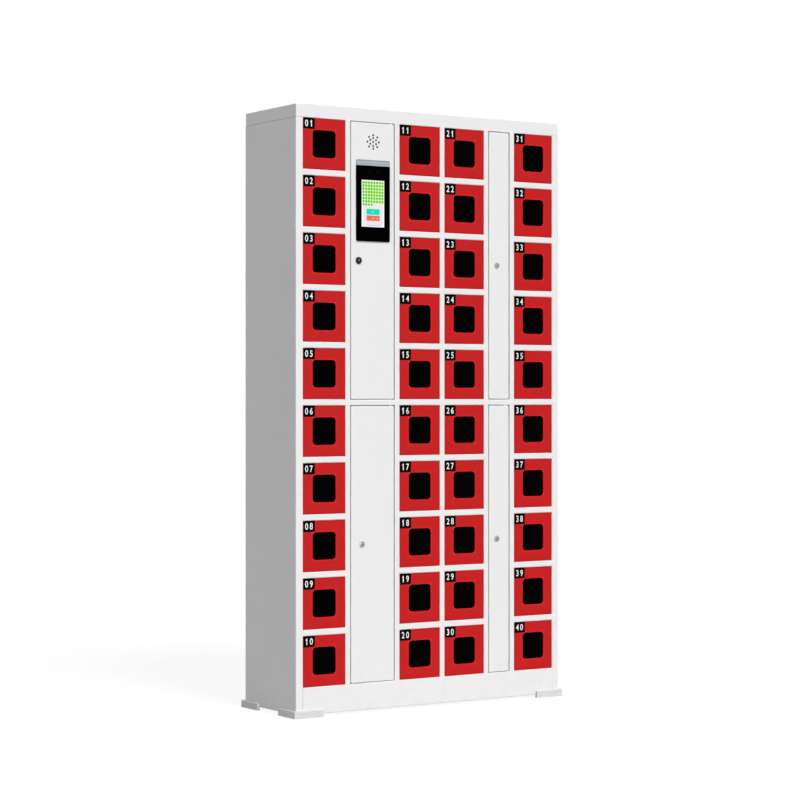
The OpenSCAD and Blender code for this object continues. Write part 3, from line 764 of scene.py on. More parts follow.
# Cabinet shell
CAP_SHADOW = 0.4 * MM
BAND_SEAM = 1.1 * MM
POST_PAST_GRID = 0.2 * MM
TOP_RAIL_SET_BACK = 0.3 * MM
TOP_RAIL_BELOW_CAP = 10 * MM


def make_side_panels():
    """Each side is one sheet, folded round to the front as the outer post and round to the back."""
    inner = FRONT + FRAME_DEPTH
    z = UNDERSIDE
    for side, name in ((-1, "side_panel_left"), (1, "side_panel_right")):
        x = side * RIGHT
        line = [((x - side * SIDE_POST, inner, z), 0), ((x - side * SIDE_POST, FRONT, z), FOLD),
                ((x, FRONT, z), CORNER_BEND), ((x, BACK, z), CORNER_BEND),
                ((x - side * REAR_FLANGE, BACK, z), 0)]
        if side < 0:
            line.reverse()
        piece = section(name, line, (0, 0, side_high.z - CAP_SHADOW - z))
        put(even_shading(piece), "cabinet", "cabinet_white_paint", "side_panels")


def make_top_cap():
    outline = rounded(cap_low.x, cap_low.y, cap_high.x, cap_high.y, CORNER_BEND)
    piece = panel("top_cap_sheet", WHITE, at_top(cap_high.z), outline, fold(FOLD, cap_high.z - cap_low.z))
    put(even_shading(piece), "cabinet", "cabinet_white_paint", "top_cap")


def make_base():
    """Front band with its folds, and the floor sheet behind it."""
    x0, x1 = columns_x[0][0], columns_x[-1][1]
    band = level_channel("base_band", x0 + BAND_SEAM, x1 - BAND_SEAM, UNDERSIDE, GRID_BOTTOM)
    floor_outline = rounded(BEND_LEFT, FRONT + FRAME_DEPTH, -BEND_LEFT, BACK_SHEET - HAIRLINE)
    floor_sheet = panel("base_floor", WHITE, at_top(UNDERSIDE + SHEET), floor_outline, cut_edge())
    put(even_shading(join("base_sheets", [band, floor_sheet])), "cabinet", "cabinet_white_paint", "base_pan")


def make_front_frame():
    """Posts and rails; each end runs on over the next piece's bend, so that the face has no groove."""
    z0, z1 = GRID_BOTTOM - FOLD, GRID_TOP + POST_PAST_GRID
    wide = service_leaf["service_door_lower_wide"]
    narrow = service_leaf["service_door_lower_narrow"]
    posts = [(wide_gap[0], wide.left - SERVICE_GAP), (wide.right + SERVICE_GAP, wide_gap[1]), middle_gap,
             (narrow_gap[0], narrow.left - SERVICE_GAP), (narrow.right + SERVICE_GAP, narrow_gap[1])]
    parts = [upright_channel(f"post_{i}", x0, x1, z0, z1) for i, (x0, x1) in enumerate(posts)]
    rail_z0 = GRID_BOTTOM + CELL_HEIGHT
    rail_z1 = GRID_BOTTOM + ROW_PITCH
    for i, (x0, x1) in enumerate(columns_x):
        parts.append(level_channel(f"rails_{i}", x0 - FOLD, x1 + FOLD, rail_z0, rail_z1, ROWS - 1, ROW_PITCH))
    upper_z0 = service_leaf["service_door_upper_wide"].bottom - SERVICE_GAP
    for i, leaf in enumerate((wide, narrow)):
        parts.append(level_channel(f"service_rail_{i}", leaf.left - SERVICE_GAP - FOLD,
                                   leaf.right + SERVICE_GAP + FOLD, leaf.top + SERVICE_GAP, upper_z0))
    rail_y = FRONT + SHEET + TOP_RAIL_SET_BACK
    angle = [((BEND_LEFT, rail_y, cap_high.z - TOP_RAIL_BELOW_CAP), 0),
             ((BEND_LEFT, rail_y, GRID_TOP), FOLD), ((BEND_LEFT, FRONT + FRAME_DEPTH, GRID_TOP), 0)]
    parts.append(section("top_rail", angle, (-2 * BEND_LEFT, 0, 0)))
    put(even_shading(join("front_frame_sheets", parts)), "cabinet", "cabinet_white_paint", "front_frame")


# Corner feet, moulded and rounded
FOOT_ARM = 100 * MM
FOOT_IN = 20 * MM
FOOT_SLIP = 0.3 * MM
FOOT_ROUND = 2.8 * MM
FOOT_RIM = 0.8 * MM
FOOT_RIM_H = 3.2 * MM
FOOT_RIM_EASE = 0.3 * MM
FOOT_SOLE = 0.8 * MM
PAD_SLIP = 0.5 * MM
PAD_SET_BACK = 38 * MM


def make_foot(mx, my):
    """Angle that wraps the body's corner, with a rim round its base, and a low pad under the body."""
    out = foot_high.x - RIGHT
    arm = out - FOOT_ARM
    tall = foot_high.z
    rim = tall - FOOT_RIM_H

    def corner(u, v, w):
        return (mx * (RIGHT + u), my * (BACK + v), tall - w)

    def angle(inset):
        edge, end = out - inset, arm + inset
        arc = [(edge - back, edge - aside) for aside, back in round_edge(FOOT_ROUND)]
        return [*arc, (end, edge), (end, FOOT_SLIP), (FOOT_SLIP, FOOT_SLIP), (FOOT_SLIP, end), (edge, end)]

    def pad(inset):
        near, far, end = FOOT_SLIP + PAD_SLIP, -FOOT_IN + inset, arm + PAD_SET_BACK + inset
        return [(near, near), (end, near), (end, far), (far, far), (far, end), (near, end)]
    sole = [(0, tall - FOOT_SOLE), (FOOT_SOLE, tall)]
    rows = [(FOOT_RIM + inset, depth) for inset, depth in round_edge(FOOT_ROUND)]
    rows += [(FOOT_RIM, rim - FOOT_RIM_EASE), (FOOT_RIM - FOOT_RIM_EASE, rim), (FOOT_RIM_EASE, rim),
             (0, rim + FOOT_RIM_EASE), *sole]
    pad_rows = [(0, tall - UNDERSIDE), *sole]
    return [panel("foot_angle", FOOT, corner, angle, rows), panel("foot_pad", FOOT, corner, pad, pad_rows)]


def make_feet():
    parts = [part for mx in (-1, 1) for my in (-1, 1) for part in make_foot(mx, my)]
    feet = even_shading(join("corner_feet_moulded", parts), 40)
    put(feet, "cabinet", "foot_grey", "corner_feet")


# Back panel with anchor holes, cable bush and the rivets of the rear flanges
ANCHOR_R = 4.5 * MM
ANCHOR_INSET = 150 * MM
INLET_Z = 60 * MM
INLET_R = 6 * MM
BUSH_R = 9 * MM
BUSH_FLANGE = 3 * MM
BUSH_PROUD = 2 * MM
REAR_RIVETS = 12
RIVET_R = 3.2 * MM
RIVET_INSET = 60 * MM


def make_back():
    outline = rounded(BEND_LEFT, UNDERSIDE, -BEND_LEFT, side_high.z)
    holes = [(circle(x, z, ANCHOR_R), cut_edge(), False) for x in (WIDE_X, NARROW_X)
             for z in (UNDERSIDE + ANCHOR_INSET, cap_high.z - ANCHOR_INSET)]
    holes.append((circle(WIDE_X, INLET_Z, BUSH_R), cut_edge(), False))
    sheet = panel("back_sheet", WHITE, at_back(BACK_SHEET + SHEET), outline, cut_edge(), holes)
    put(even_shading(sheet), "cabinet", "cabinet_white_paint", "back_panel")


def make_cable_bush():
    """Rubber ring in the back sheet's inlet, with the same flange inside and outside."""
    flange = BUSH_R + BUSH_FLANGE
    side = [(INLET_R, BUSH_PROUD), (flange - 1 * MM, BUSH_PROUD), (flange, BUSH_PROUD - 0.8 * MM),
            (flange, HAIRLINE), (BUSH_R - HAIRLINE, HAIRLINE)]
    rows = [(r, -proud) for r, proud in side] + [(r, SHEET + proud) for r, proud in reversed(side)]
    bush = turned("cable_bush", RUBBER, rows, about(WIDE_X, INLET_Z, BACK_SHEET), ring=True)
    put(even_shading(bush), "cabinet", "cabinet_white_paint")


def make_rear_rivets():
    """Domed blind rivets with broken stems, in one row up each rear flange."""
    profile = [(RIVET_R, 0), (RIVET_R, 0.25 * MM), (0.82 * RIVET_R, 0.7 * MM), (0.5 * RIVET_R, 1.0 * MM),
               (0.36 * RIVET_R, 1.05 * MM), (0.34 * RIVET_R, 0.6 * MM)]
    lowest = UNDERSIDE + RIVET_INSET
    step = (side_high.z - RIVET_INSET - lowest) / (REAR_RIVETS - 1)
    both = []
    for side in (-1, 1):
        place = about(side * (RIGHT - 0.6 * REAR_FLANGE), lowest, BACK)
        both.append(repeated(turned("rear_rivet", WHITE, profile, place, 12), rows=REAR_RIVETS,
                             row_step=(0, 0, step)))
    put(even_shading(join("rear_rivets", both), 50), "cabinet", "cabinet_white_paint")


# Cell doors
PANE_LAP = 7 * MM
PANE_T = 3 * MM
PLATE_W = 39.5 * MM
PLATE_H = 32.5 * MM
PLATE_T = 0.6 * MM
PLATE_INSET = 1 * MM
PLATE_FACE = PLATE_T + HAIRLINE
DIGIT_H = 19.6 * MM
DIGIT_W = 10.2 * MM
DIGIT_PITCH = 16.1 * MM
DIGIT_LEFT = 0.6 * MM
FONT_OFFSET = 0.016
FONT_EXTRUDE = 0.002
INK = 0.02 * MM
HOOK_INSET = 9 * MM
HOOK_REACH = 34 * MM
HOOK_T = 2 * MM
HOOK_H = 14 * MM
HOOK_FOOT_W = 8 * MM
HOOK_FOOT_PAST = 5 * MM
HOOK_EYE = 3 * MM
HOOK_EYE_INSET = 6 * MM
HOOK_RIVET_PAST = 2.4 * MM

# Outline of the digit one, in millimetres, as the plates show it: a stem with a soft flag
ONE = [(2.3, 0.0), (2.3, 19.6), (-0.4, 19.6), (-0.9, 17.8), (-2.0, 16.5), (-3.7, 16.0), (-3.7, 13.3),
       (-1.1, 13.3), (-1.1, 0.0)]


def make_one():
    """Flat mesh of the digit one, in the same place and thickness as the other digits."""
    def outline(inset):
        return [(x * MM, z * MM) for x, z in ONE]
    return taken_mesh(panel("digit_one", NUMBER, at_front(-INK), outline, [(0, 0), (0, 2 * INK)]))


def make_digits():
    """One flat mesh for each digit, bold and narrow, centred at its own foot."""
    digits = []
    for value in range(10):
        curve = bpy.data.curves.new(f"digit_{value}", "FONT")
        curve.body = str(value)
        curve.size = 1.0
        curve.offset = FONT_OFFSET
        curve.extrude = FONT_EXTRUDE
        text = add_object(f"digit_{value}", curve)
        digits.append(evaluated_mesh(text))
        bpy.data.objects.remove(text)
    # The eight gives the scale of all ten
    low, high = extent(digits[8])
    scale = (DIGIT_W / (high.x - low.x), DIGIT_H / (high.y - low.y), INK / FONT_EXTRUDE, 1)
    for mesh in digits:
        mine_low, mine_high = extent(mesh)
        middle = (mine_low.x + mine_high.x) / 2
        mesh.transform(Matrix.Translation((-middle, -low.y, 0)))
        mesh.transform(Matrix.Diagonal(scale))
        mesh.transform(Matrix.Rotation(math.radians(90), 4, "X"))
        mesh.materials.clear()
        mesh.materials.append(NUMBER)
    digits[1] = make_one()
    return digits


def about_middle(w, h, corner_r, steps=FOLD_STEPS):
    """Round-cornered rectangle about the middle of a cell door's leaf."""
    return rounded((LEAF_W - w) / 2, (LEAF_H - h) / 2, (LEAF_W + w) / 2, (LEAF_H + h) / 2, corner_r, steps)


def make_leaf_mesh():
    """Folded red leaf with its window hole, lower left corner at the origin."""
    window = about_middle(WINDOW_W, WINDOW_H, WINDOW_R, 8)
    leaf = panel("leaf", RED, at_front(0), rounded(0, 0, LEAF_W, LEAF_H, 0.6 * MM), fold(FOLD, LEAF_DEPTH),
                 [(window, cut_edge(0.3 * MM), False)])
    even_shading(leaf)
    place = leaf.data.uv_layers.new(name="leaf_place")
    for loop in leaf.data.loops:
        co = leaf.data.vertices[loop.vertex_index].co
        place.data[loop.index].uv = (co.x - LEAF_W / 2, co.z - LEAF_H / 2)
    return taken_mesh(leaf)


def make_pane_mesh():
    outline = about_middle(WINDOW_W + 2 * PANE_LAP, WINDOW_H + 2 * PANE_LAP, 3 * MM)
    pane = panel("pane", ACRYLIC, at_front(SHEET + HAIRLINE), outline, block(PANE_T, 0.4 * MM))
    return taken_mesh(even_shading(pane))


def make_plate_mesh():
    outline = rounded(PLATE_INSET, LEAF_H - PLATE_H, PLATE_INSET + PLATE_W, LEAF_H, 0.5 * MM)
    plate = panel("plate", PLATE, at_front(-PLATE_FACE), outline, block(PLATE_T, 0.15 * MM))
    return taken_mesh(even_shading(plate))


def make_hardware_mesh(left_hinged):
    """Strike hook with its riveted foot, and the two hinge pins with their collars."""
    y = SHEET + HAIRLINE
    x1 = LEAF_W - HOOK_INSET
    middle = LEAF_H / 2
    foot_half = HOOK_H / 2 + HOOK_FOOT_PAST
    foot = panel("hook_foot", ZINC, at_front(y),
                 rounded(x1 - HOOK_FOOT_W, middle - foot_half, x1, middle + foot_half, 1.5 * MM),
                 block(HOOK_T, 0.3 * MM))
    eye_y = HOOK_REACH - HOOK_EYE_INSET
    eye = rounded(eye_y - HOOK_EYE, middle - HOOK_EYE, eye_y + HOOK_EYE, middle + HOOK_EYE, 1.2 * MM)
    blade = panel("hook_blade", ZINC, lambda u, v, w: (x1 - w, u, v),
                  rounded(y, middle - HOOK_H / 2, HOOK_REACH, middle + HOOK_H / 2, 3 * MM),
                  broken_edges(HOOK_T, 0.3 * MM), [(eye, broken_edges(HOOK_T, 0.2 * MM), False)])
    lower_rivet = about(x1 - HOOK_FOOT_W / 2 - 0.5 * MM, middle - HOOK_H / 2 - HOOK_RIVET_PAST, y + HOOK_T)
    head = turned("hook_rivet", ZINC, in_mm((2.0, 0), (1.9, 0.5), (1.2, 0.9)), lower_rivet, 14)
    heads = repeated(head, rows=2, row_step=(0, 0, HOOK_H + 2 * HOOK_RIVET_PAST))
    hinge = hinge_at["door_01"]
    pins = hinge_pins(hinge.x - first_leaf.left, hinge.y - FRONT, LEAF_H, CELL_GAP, CELL_PIN_R)
    mesh = taken_mesh(even_shading(join("hardware", [foot, blade, heads, *pins]), 40))
    if not left_hinged:
        mesh.transform(Matrix.Diagonal((-1, 1, 1, 1)))
        mesh.transform(Matrix.Translation((LEAF_W, 0, 0)))
        mesh.flip_normals()
    return mesh


def hinge_pins(x, y, height, gap, radius):
    """Pins through the leaf's bottom and top flanges, each with a round end and a welded collar."""
    reach = pin_reach(gap)
    pin_h = 2 * SHEET + gap + 2 * PIN_PAST
    profile = [(0.6 * radius, 0), (radius, 0.4 * radius), (radius, reach + SHEET),
               (1.7 * radius, reach + SHEET), (1.7 * radius, pin_h - 0.2 * MM), (1.4 * radius, pin_h)]
    return [turned("pin", ZINC, profile, lambda u, v, w, z=z, up=up: (x + u, y + v, z + up * w), 16)
            for z, up in ((-reach, 1), (height + reach, -1))]


def make_number(name, number, plate, digits, x, z):
    """Plate with its two white digits, flush with the leaf's top left corner."""
    parts = [placed_copy(name, plate, x, FRONT, z)]
    middle = x + PLATE_INSET + PLATE_W / 2 - DIGIT_LEFT
    foot = z + LEAF_H - PLATE_H / 2 - DIGIT_H / 2
    for digit, shift in ((number // 10, -0.5), (number % 10, 0.5)):
        parts.append(placed_copy(f"{name}_{digit}", digits[digit], middle + shift * DIGIT_PITCH,
                                 FRONT - PLATE_FACE, foot))
    return join(name, parts)


def make_cell_doors():
    leaf, pane, plate, digits = make_leaf_mesh(), make_pane_mesh(), make_plate_mesh(), make_digits()
    hardware = {side: make_hardware_mesh(side) for side in (True, False)}
    for number, (door, (x, z, _, _)) in enumerate(cell_leaf.items(), 1):
        put(placed_copy(f"{door}_leaf", leaf, x, FRONT, z), door, "door_red_paint", door)
        put(placed_copy(f"{door}_window", pane, x, FRONT, z), door, "door_red_paint")
        put(placed_copy(f"{door}_hardware", hardware[hinged_left[door]], x, FRONT, z), door, "lock_chrome")
        put(make_number(f"{door}_number", number, plate, digits, x, z), door, "door_red_paint")


# Service doors and their key locks
BARREL_R = 8.2 * MM
BARREL_D = 22 * MM
THREAD_FROM = SHEET + 4.6 * MM
THREAD_PITCH = 1.5 * MM
THREAD_DEPTH = 0.5 * MM
NUT_T = 4 * MM
NUT_WIDER = 4 * MM
PLUG_R = 5.5 * MM
PLUG_PROUD = 0.6 * MM
KEYHOLE_RING_R = 3.3 * MM
SLOT_H = 1.6 * MM
CAM_W = 16 * MM
CAM_T = 2 * MM
CAM_NUT_R = 7 * MM
CAM_NUT_T = 2.5 * MM
MARK_LEFT = 0.6 * MM
MARK_UP = 6.9 * MM
silver_lock = {"head_r": 9.4 * MM, "head_t": 2.5 * MM, "finish": CHROME, "slot_w": 8 * MM, "face_t": 0}
black_lock = {"head_r": 10.5 * MM, "head_t": 3.5 * MM, "finish": LOCK_BLACK, "slot_w": 4.4 * MM,
              "face_t": 0.4 * MM}
locks = {"upper_wide": black_lock, "lower_wide": silver_lock, "upper_narrow": silver_lock,
         "lower_narrow": silver_lock}
LEAF_GROW = 1.0 * MM
BOX_SLIP = 0.3 * MM
TERMINAL_LAP = 8 * MM
SOUND_HOLE_R = 3.35 * MM
SOUND_RINGS = ((1, 0), (6, 11.7 * MM), (8, 20.5 * MM))
speaker_low, speaker_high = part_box("speaker")
SPEAKER_X = (speaker_low.x + speaker_high.x) / 2
SPEAKER_Z = (speaker_low.z + speaker_high.z) / 2


def sound_holes():
    """Centres of the holes on rings round the speaker's axis."""
    turns = [(r, 2 * math.pi * i / count) for count, r in SOUND_RINGS for i in range(count)]
    return [(SPEAKER_X + r * math.sin(turn), SPEAKER_Z + r * math.cos(turn)) for r, turn in turns]


def make_service_leaf(key):
    """White leaf with its lock hole and hinge pins; the one with the terminal has its openings too."""
    body = f"service_door_{key}"
    x0, z0, x1, z1 = service_leaf[body]
    z0, z1 = z0 - LEAF_GROW, z1 + LEAF_GROW
    lock = hinge_at[f"key_plug_{key}"]
    holes = [(circle(lock.x, lock.z, BARREL_R + HAIRLINE), cut_edge(), False)]
    if key == "upper_wide":
        holes += [(circle(x, z, SOUND_HOLE_R, 20), cut_edge(0.1 * MM), False) for x, z in sound_holes()]
        lap = TERMINAL_LAP - BOX_SLIP
        holes.append((rounded(terminal_low.x + lap, terminal_low.z + lap, terminal_high.x - lap,
                              terminal_high.z - lap, 1 * MM), cut_edge(), False))
    leaf = panel(f"{body}_leaf", WHITE, at_front(FRONT), rounded(x0, z0, x1, z1, SERVICE_CORNER),
                 fold(FOLD, SERVICE_DEPTH), holes)
    put(even_shading(leaf), body, "cabinet_white_paint", body)
    hinge = hinge_at[body]
    pins = hinge_pins(hinge.x, hinge.y, z1 - z0, SERVICE_GAP - LEAF_GROW, SERVICE_PIN_R)
    for pin in pins:
        pin.data.transform(Matrix.Translation((0, 0, z0)))
    put(even_shading(join(f"{body}_pins", pins), 40), body, "lock_chrome")


def make_lock_barrel(key):
    """Head, threaded barrel and nut round the turning plug."""
    lock = locks[key]
    body = f"service_door_{key}"
    at = hinge_at[f"key_plug_{key}"]
    bore = PLUG_R + 0.05 * MM
    r, t = lock["head_r"], lock["head_t"] + HAIRLINE
    rows = [(bore, -t + 0.5 * MM), (bore + 0.5 * MM, -t)]
    rows += [(r - inset, behind - t) for inset, behind in in_mm((1.6, 0), (0.8, 0.3), (0.2, 1.0), (0, 1.8))]
    rows += [(r, -0.4 * MM), (r - 0.3 * MM, -HAIRLINE), (BARREL_R, -HAIRLINE)]
    for i in range(int((BARREL_D - THREAD_FROM) / THREAD_PITCH)):
        rows += [(BARREL_R, THREAD_FROM + i * THREAD_PITCH),
                 (BARREL_R - THREAD_DEPTH, THREAD_FROM + (i + 0.5) * THREAD_PITCH)]
    rows += [(BARREL_R - THREAD_DEPTH, BARREL_D), (bore, BARREL_D)]
    barrel = turned(f"{body}_lock", lock["finish"], rows, about(at.x, at.z, FRONT), ring=True)
    nut_hole = circle(at.x, at.z, BARREL_R - 0.3 * MM)
    nut = panel("nut", ZINC, at_front(FRONT + SHEET + HAIRLINE), circle(at.x, at.z, BARREL_R + NUT_WIDER),
                block(NUT_T, 0.5 * MM), [(nut_hole, cut_edge(0.2 * MM, NUT_T), False)])
    parts = [barrel, nut]
    if key == "upper_wide":
        place = about(at.x - MARK_LEFT, at.z + MARK_UP, FRONT - t + 0.05 * MM, -1)
        parts.append(turned("mark", LOCK_RED, in_mm((1.2, 0), (1.2, 0.1), (0.9, 0.2)), place, 16))
    put(even_shading(join(f"{body}_lock", parts), 40), body, "lock_chrome")


def make_key_plug(key):
    """Turning plug with its key slot, the cam that points down and the cam's hex nut."""
    lock = locks[key]
    node = f"key_plug_{key}"
    at = hinge_at[node]
    low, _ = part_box(node)
    half = lock["slot_w"] / 2
    slot = rounded(at.x - half, at.z - SLOT_H / 2, at.x + half, at.z + SLOT_H / 2, 0.5 * MM)
    cam_y = FRONT + BARREL_D + BOX_SLIP
    face_y = FRONT - lock["head_t"] - PLUG_PROUD
    plug_y = face_y + lock["face_t"]
    parts = [panel(f"{node}_core", lock["finish"], at_front(plug_y), circle(at.x, at.z, PLUG_R, 32),
                   round_edge(0.5 * MM, 2) + [(0, cam_y - plug_y)],
                   [(slot, cut_edge(0.2 * MM, 1.5 * MM), True)]),
             # The dark sheet inside the key slot is painted shade of the slot's depth
             panel("keyway", KEYWAY_PAINTED_SHADE, at_front(plug_y + 0.5 * MM), slot, [(0, 0), (0, 0.9 * MM)])]
    if lock["face_t"]:
        face_edge = cut_edge(depth=lock["face_t"])
        parts.append(panel("keyhole_ring", DULL_STEEL, at_front(face_y),
                           circle(at.x, at.z, KEYHOLE_RING_R), face_edge, [(slot, face_edge, False)]))
    parts.append(panel("cam", ZINC, at_front(cam_y),
                       rounded(at.x - CAM_W / 2, low.z, at.x + CAM_W / 2, at.z + CAM_W / 2, 5 * MM),
                       block(CAM_T, 0.3 * MM)))
    parts.append(panel("cam_nut", ZINC, at_front(cam_y + CAM_T), circle(at.x, at.z, CAM_NUT_R, 6),
                       block(CAM_NUT_T, 0.4 * MM)))
    put(even_shading(join(f"{node}_turning", parts), 40), node, "lock_chrome", node)


def make_service_doors():
    for key in locks:
        make_service_leaf(key)
        make_lock_barrel(key)
        make_key_plug(key)


# Touch terminal, in the upper wide service door
TERMINAL_DOOR = "service_door_upper_wide"
GLASS_T = 1.8 * MM
GLASS_R = 3.9 * MM
POCKET_R = 4.2 * MM
FRAME_R = 5 * MM
FRAME_EDGE = 0.35 * MM
STRIP_DROP = 0.5 * MM
GROOVE_INSET = 0.4 * MM
GROOVE_H = 0.6 * MM
GROOVE_D = 0.4 * MM
REAR_VENTS_UP = 60 * MM
DISPLAY_W = 80 * MM
DISPLAY_H = 140 * MM
DISPLAY_DROP = 43.5 * MM
DISPLAY_SHIFT = -1.2 * MM
TILE_W = 7.0 * MM
TILE_H = 6.6 * MM
DOT = 3.2 * MM
SCREEN_X = (screen_low.x + screen_high.x) / 2

# Places on the display, as shares of its width from the left and of its height from the top
TILE_LEFT, TILE_TOP = 0.08, 0.052
TILE_STEP, TILE_ROW_STEP = 0.12, 0.0673
BUTTON_LEFT, BUTTON_RIGHT = 0.215, 0.80
TEAL_TOP, TEAL_BOTTOM = 0.613, 0.738
CORAL_TOP, CORAL_BOTTOM = 0.755, 0.87


def make_terminal_front():
    """Black frame round the glass, and the blasted strip with its fine groove above it."""
    x0, z0, x1, z1 = terminal_low.x, terminal_low.z, terminal_high.x, terminal_high.z
    y = terminal_low.y
    strip_z = screen_high.z + HAIRLINE
    edge = round_edge(FRAME_EDGE, 3) + [(0, FRONT - y - HAIRLINE)]
    pocket = rounded(screen_low.x - BOX_SLIP, screen_low.z - BOX_SLIP, screen_high.x + BOX_SLIP,
                     strip_z - 0.05 * MM, POCKET_R, 8)
    face = panel("terminal_frame", TERMINAL_BLACK, at_front(y),
                 rounded(x0, z0, x1, strip_z, FRAME_R, 8, top_r=0.1 * MM), edge,
                 [(pocket, cut_edge(0.05 * MM, GLASS_T + BOX_SLIP), True)])
    line_z = z1 - STRIP_LINE
    groove = rounded(x0 + GROOVE_INSET, line_z - GROOVE_H / 2, x1 - GROOVE_INSET, line_z + GROOVE_H / 2,
                     0.1 * MM, 2)
    strip = panel("terminal_strip", ALUMINIUM, at_front(y),
                  rounded(x0, strip_z, x1, z1 - STRIP_DROP, 0.1 * MM, 8, top_r=FRAME_R), edge,
                  [(groove, cut_edge(0.02 * MM, GROOVE_D), True)])
    front = even_shading(join("terminal_front", [face, strip]))
    put(front, TERMINAL_DOOR, "terminal_aluminium", "terminal_housing")


def make_terminal_rear():
    """Closed box behind the door, with ventilation slots in its back."""
    lap = TERMINAL_LAP
    middle = (terminal_low.x + terminal_high.x) / 2
    slots = vent_slots(middle, terminal_low.z + REAR_VENTS_UP, 48 * MM, 3 * MM, 9 * MM, 9, 1.4 * MM, 1.5 * MM)
    rear = panel("terminal_rear", CASE_DARK, at_back(terminal_high.y),
                 rounded(terminal_low.x + lap, terminal_low.z + lap, terminal_high.x - lap,
                         terminal_high.z - lap, 2 * MM),
                 round_edge(1.2 * MM, 3) + [(0, terminal_high.y - FRONT + 0.05 * MM)], slots)
    put(even_shading(rear), TERMINAL_DOOR, "lock_case")


def make_terminal_glass():
    """Black glass with two small camera lenses above the display."""
    y = screen_low.y
    outline = rounded(screen_low.x, screen_low.z, screen_high.x, screen_high.z, GLASS_R, 8)
    glass = panel("terminal_glass", GLASS, at_front(y), outline, block(GLASS_T, 0.3 * MM))
    put(even_shading(glass), TERMINAL_DOOR, "terminal_glass", "terminal_screen")
    lenses = []
    for shift, drop, radius in ((-13.3 * MM, 18 * MM, 2.4 * MM), (15.8 * MM, 18.3 * MM, 3.4 * MM)):
        profile = [(radius, 0), (radius, 0.03 * MM), (0.8 * radius, 0.06 * MM), (0.45 * radius, 0.03 * MM)]
        place = about(SCREEN_X + shift, screen_high.z - drop, y, -1)
        lenses.append(turned("lens", LENS, profile, place, 24))
    put(even_shading(join("terminal_lenses", lenses)), TERMINAL_DOOR, "terminal_glass")


def lit_patch(name, material, x0, z0, x1, z1, r, layer):
    """Thin lit area on the display, in layers of a few hundredths of a millimetre."""
    y = screen_low.y - layer * 0.02 * MM
    return panel(name, material, at_front(y), rounded(x0, z0, x1, z1, r, 3), [(0, 0), (0, 0.015 * MM)])


def make_display():
    """Plain lit screen: a grid of green tiles, two buttons and two fine lines, without words."""
    left = SCREEN_X - DISPLAY_W / 2 + DISPLAY_SHIFT
    top = screen_high.z - DISPLAY_DROP
    pitch = TILE_ROW_STEP * DISPLAY_H

    def across(share):
        return left + share * DISPLAY_W

    def down(share):
        return top - share * DISPLAY_H

    def area(name, material, x0, upper, x1, lower, r, layer):
        return lit_patch(name, material, across(x0), down(lower), across(x1), down(upper), r, layer)

    def spot(name, material, x, z, w, h, r, layer):
        return lit_patch(name, material, x - w / 2, z - h / 2, x + w / 2, z + h / 2, r, layer)

    parts = [area("display_back", SCREEN_WHITE, 0, 0, 1, 1, 0.3 * MM, 1),
             area("display_panel", SCREEN_GREY, 0.06, 0.02, 0.94, 0.985, 1 * MM, 2),
             area("tile_field", SCREEN_LIME, 0.025, 0.025, 0.975, 0.50, 1 * MM, 3)]
    for columns, rows, from_row in ((8, 7, 0), (4, 1, 7)):
        tile = spot("tile", TILE_GREEN, across(TILE_LEFT), down(TILE_TOP) - from_row * pitch, TILE_W, TILE_H,
                    1.6 * MM, 4)
        parts.append(repeated(tile, columns, (TILE_STEP * DISPLAY_W, 0, 0), rows, (0, 0, -pitch)))
    for material, upper, lower, dots in ((BUTTON_TEAL, TEAL_TOP, TEAL_BOTTOM, (0.5,)),
                                         (BUTTON_CORAL, CORAL_TOP, CORAL_BOTTOM, (0.5, 0.7))):
        parts.append(area("button", material, BUTTON_LEFT, upper, BUTTON_RIGHT, lower, 2 * MM, 4))
        middle = down((upper + lower) / 2)
        for dot in dots:
            parts.append(spot("button_dot", SCREEN_WHITE, across(dot), middle, DOT, DOT, 1.5 * MM, 5))
    parts.append(area("line_pink", LINE_PINK, 0.36, 0.905, 0.64, 0.915, 0.3 * MM, 4))
    parts.append(area("line_blue", LINE_BLUE, 0.2, 0.96, 0.78, 0.97, 0.3 * MM, 4))
    put(join("terminal_display", parts), TERMINAL_DOOR, "terminal_glass")


def make_speaker():
    """Loudspeaker behind the sound holes: rim, basket and magnet as one turned piece."""
    r = (speaker_high.x - speaker_low.x) / 2
    depth = speaker_high.y - speaker_low.y
    magnet = r / 2
    profile = [(0.1 * MM, 0.5 * MM), (r - 4.2 * MM, 0.5 * MM), (r - 4 * MM, 0.05 * MM), (r - 0.2 * MM, 0.0),
               (r, 0.3 * MM), (r, 2 * MM), (r - 4 * MM, 2.2 * MM), (r - 7 * MM, 6 * MM),
               (magnet + 2 * MM, depth - 9 * MM), (magnet, depth - 8 * MM), (magnet, depth - 0.8 * MM),
               (magnet - 0.8 * MM, depth)]
    basket = turned("speaker_basket", CONE, profile, about(SPEAKER_X, SPEAKER_Z, speaker_low.y), 48)
    put(even_shading(basket), TERMINAL_DOOR, "speaker_black", "speaker")


# Electric locks, one on the wall of each cell
LOCK_W = 22 * MM
LOCK_D = 56 * MM
LOCK_H = 36 * MM
LOCK_FRONT = 22 * MM
MOUTH_X0 = 7.5 * MM
MOUTH_X1 = 13.1 * MM
MOUTH_H = 18 * MM
MOUTH_D = 14 * MM
LOCK_SCREW_BEHIND = 14 * MM
LOCK_SCREW_STEP = 34 * MM


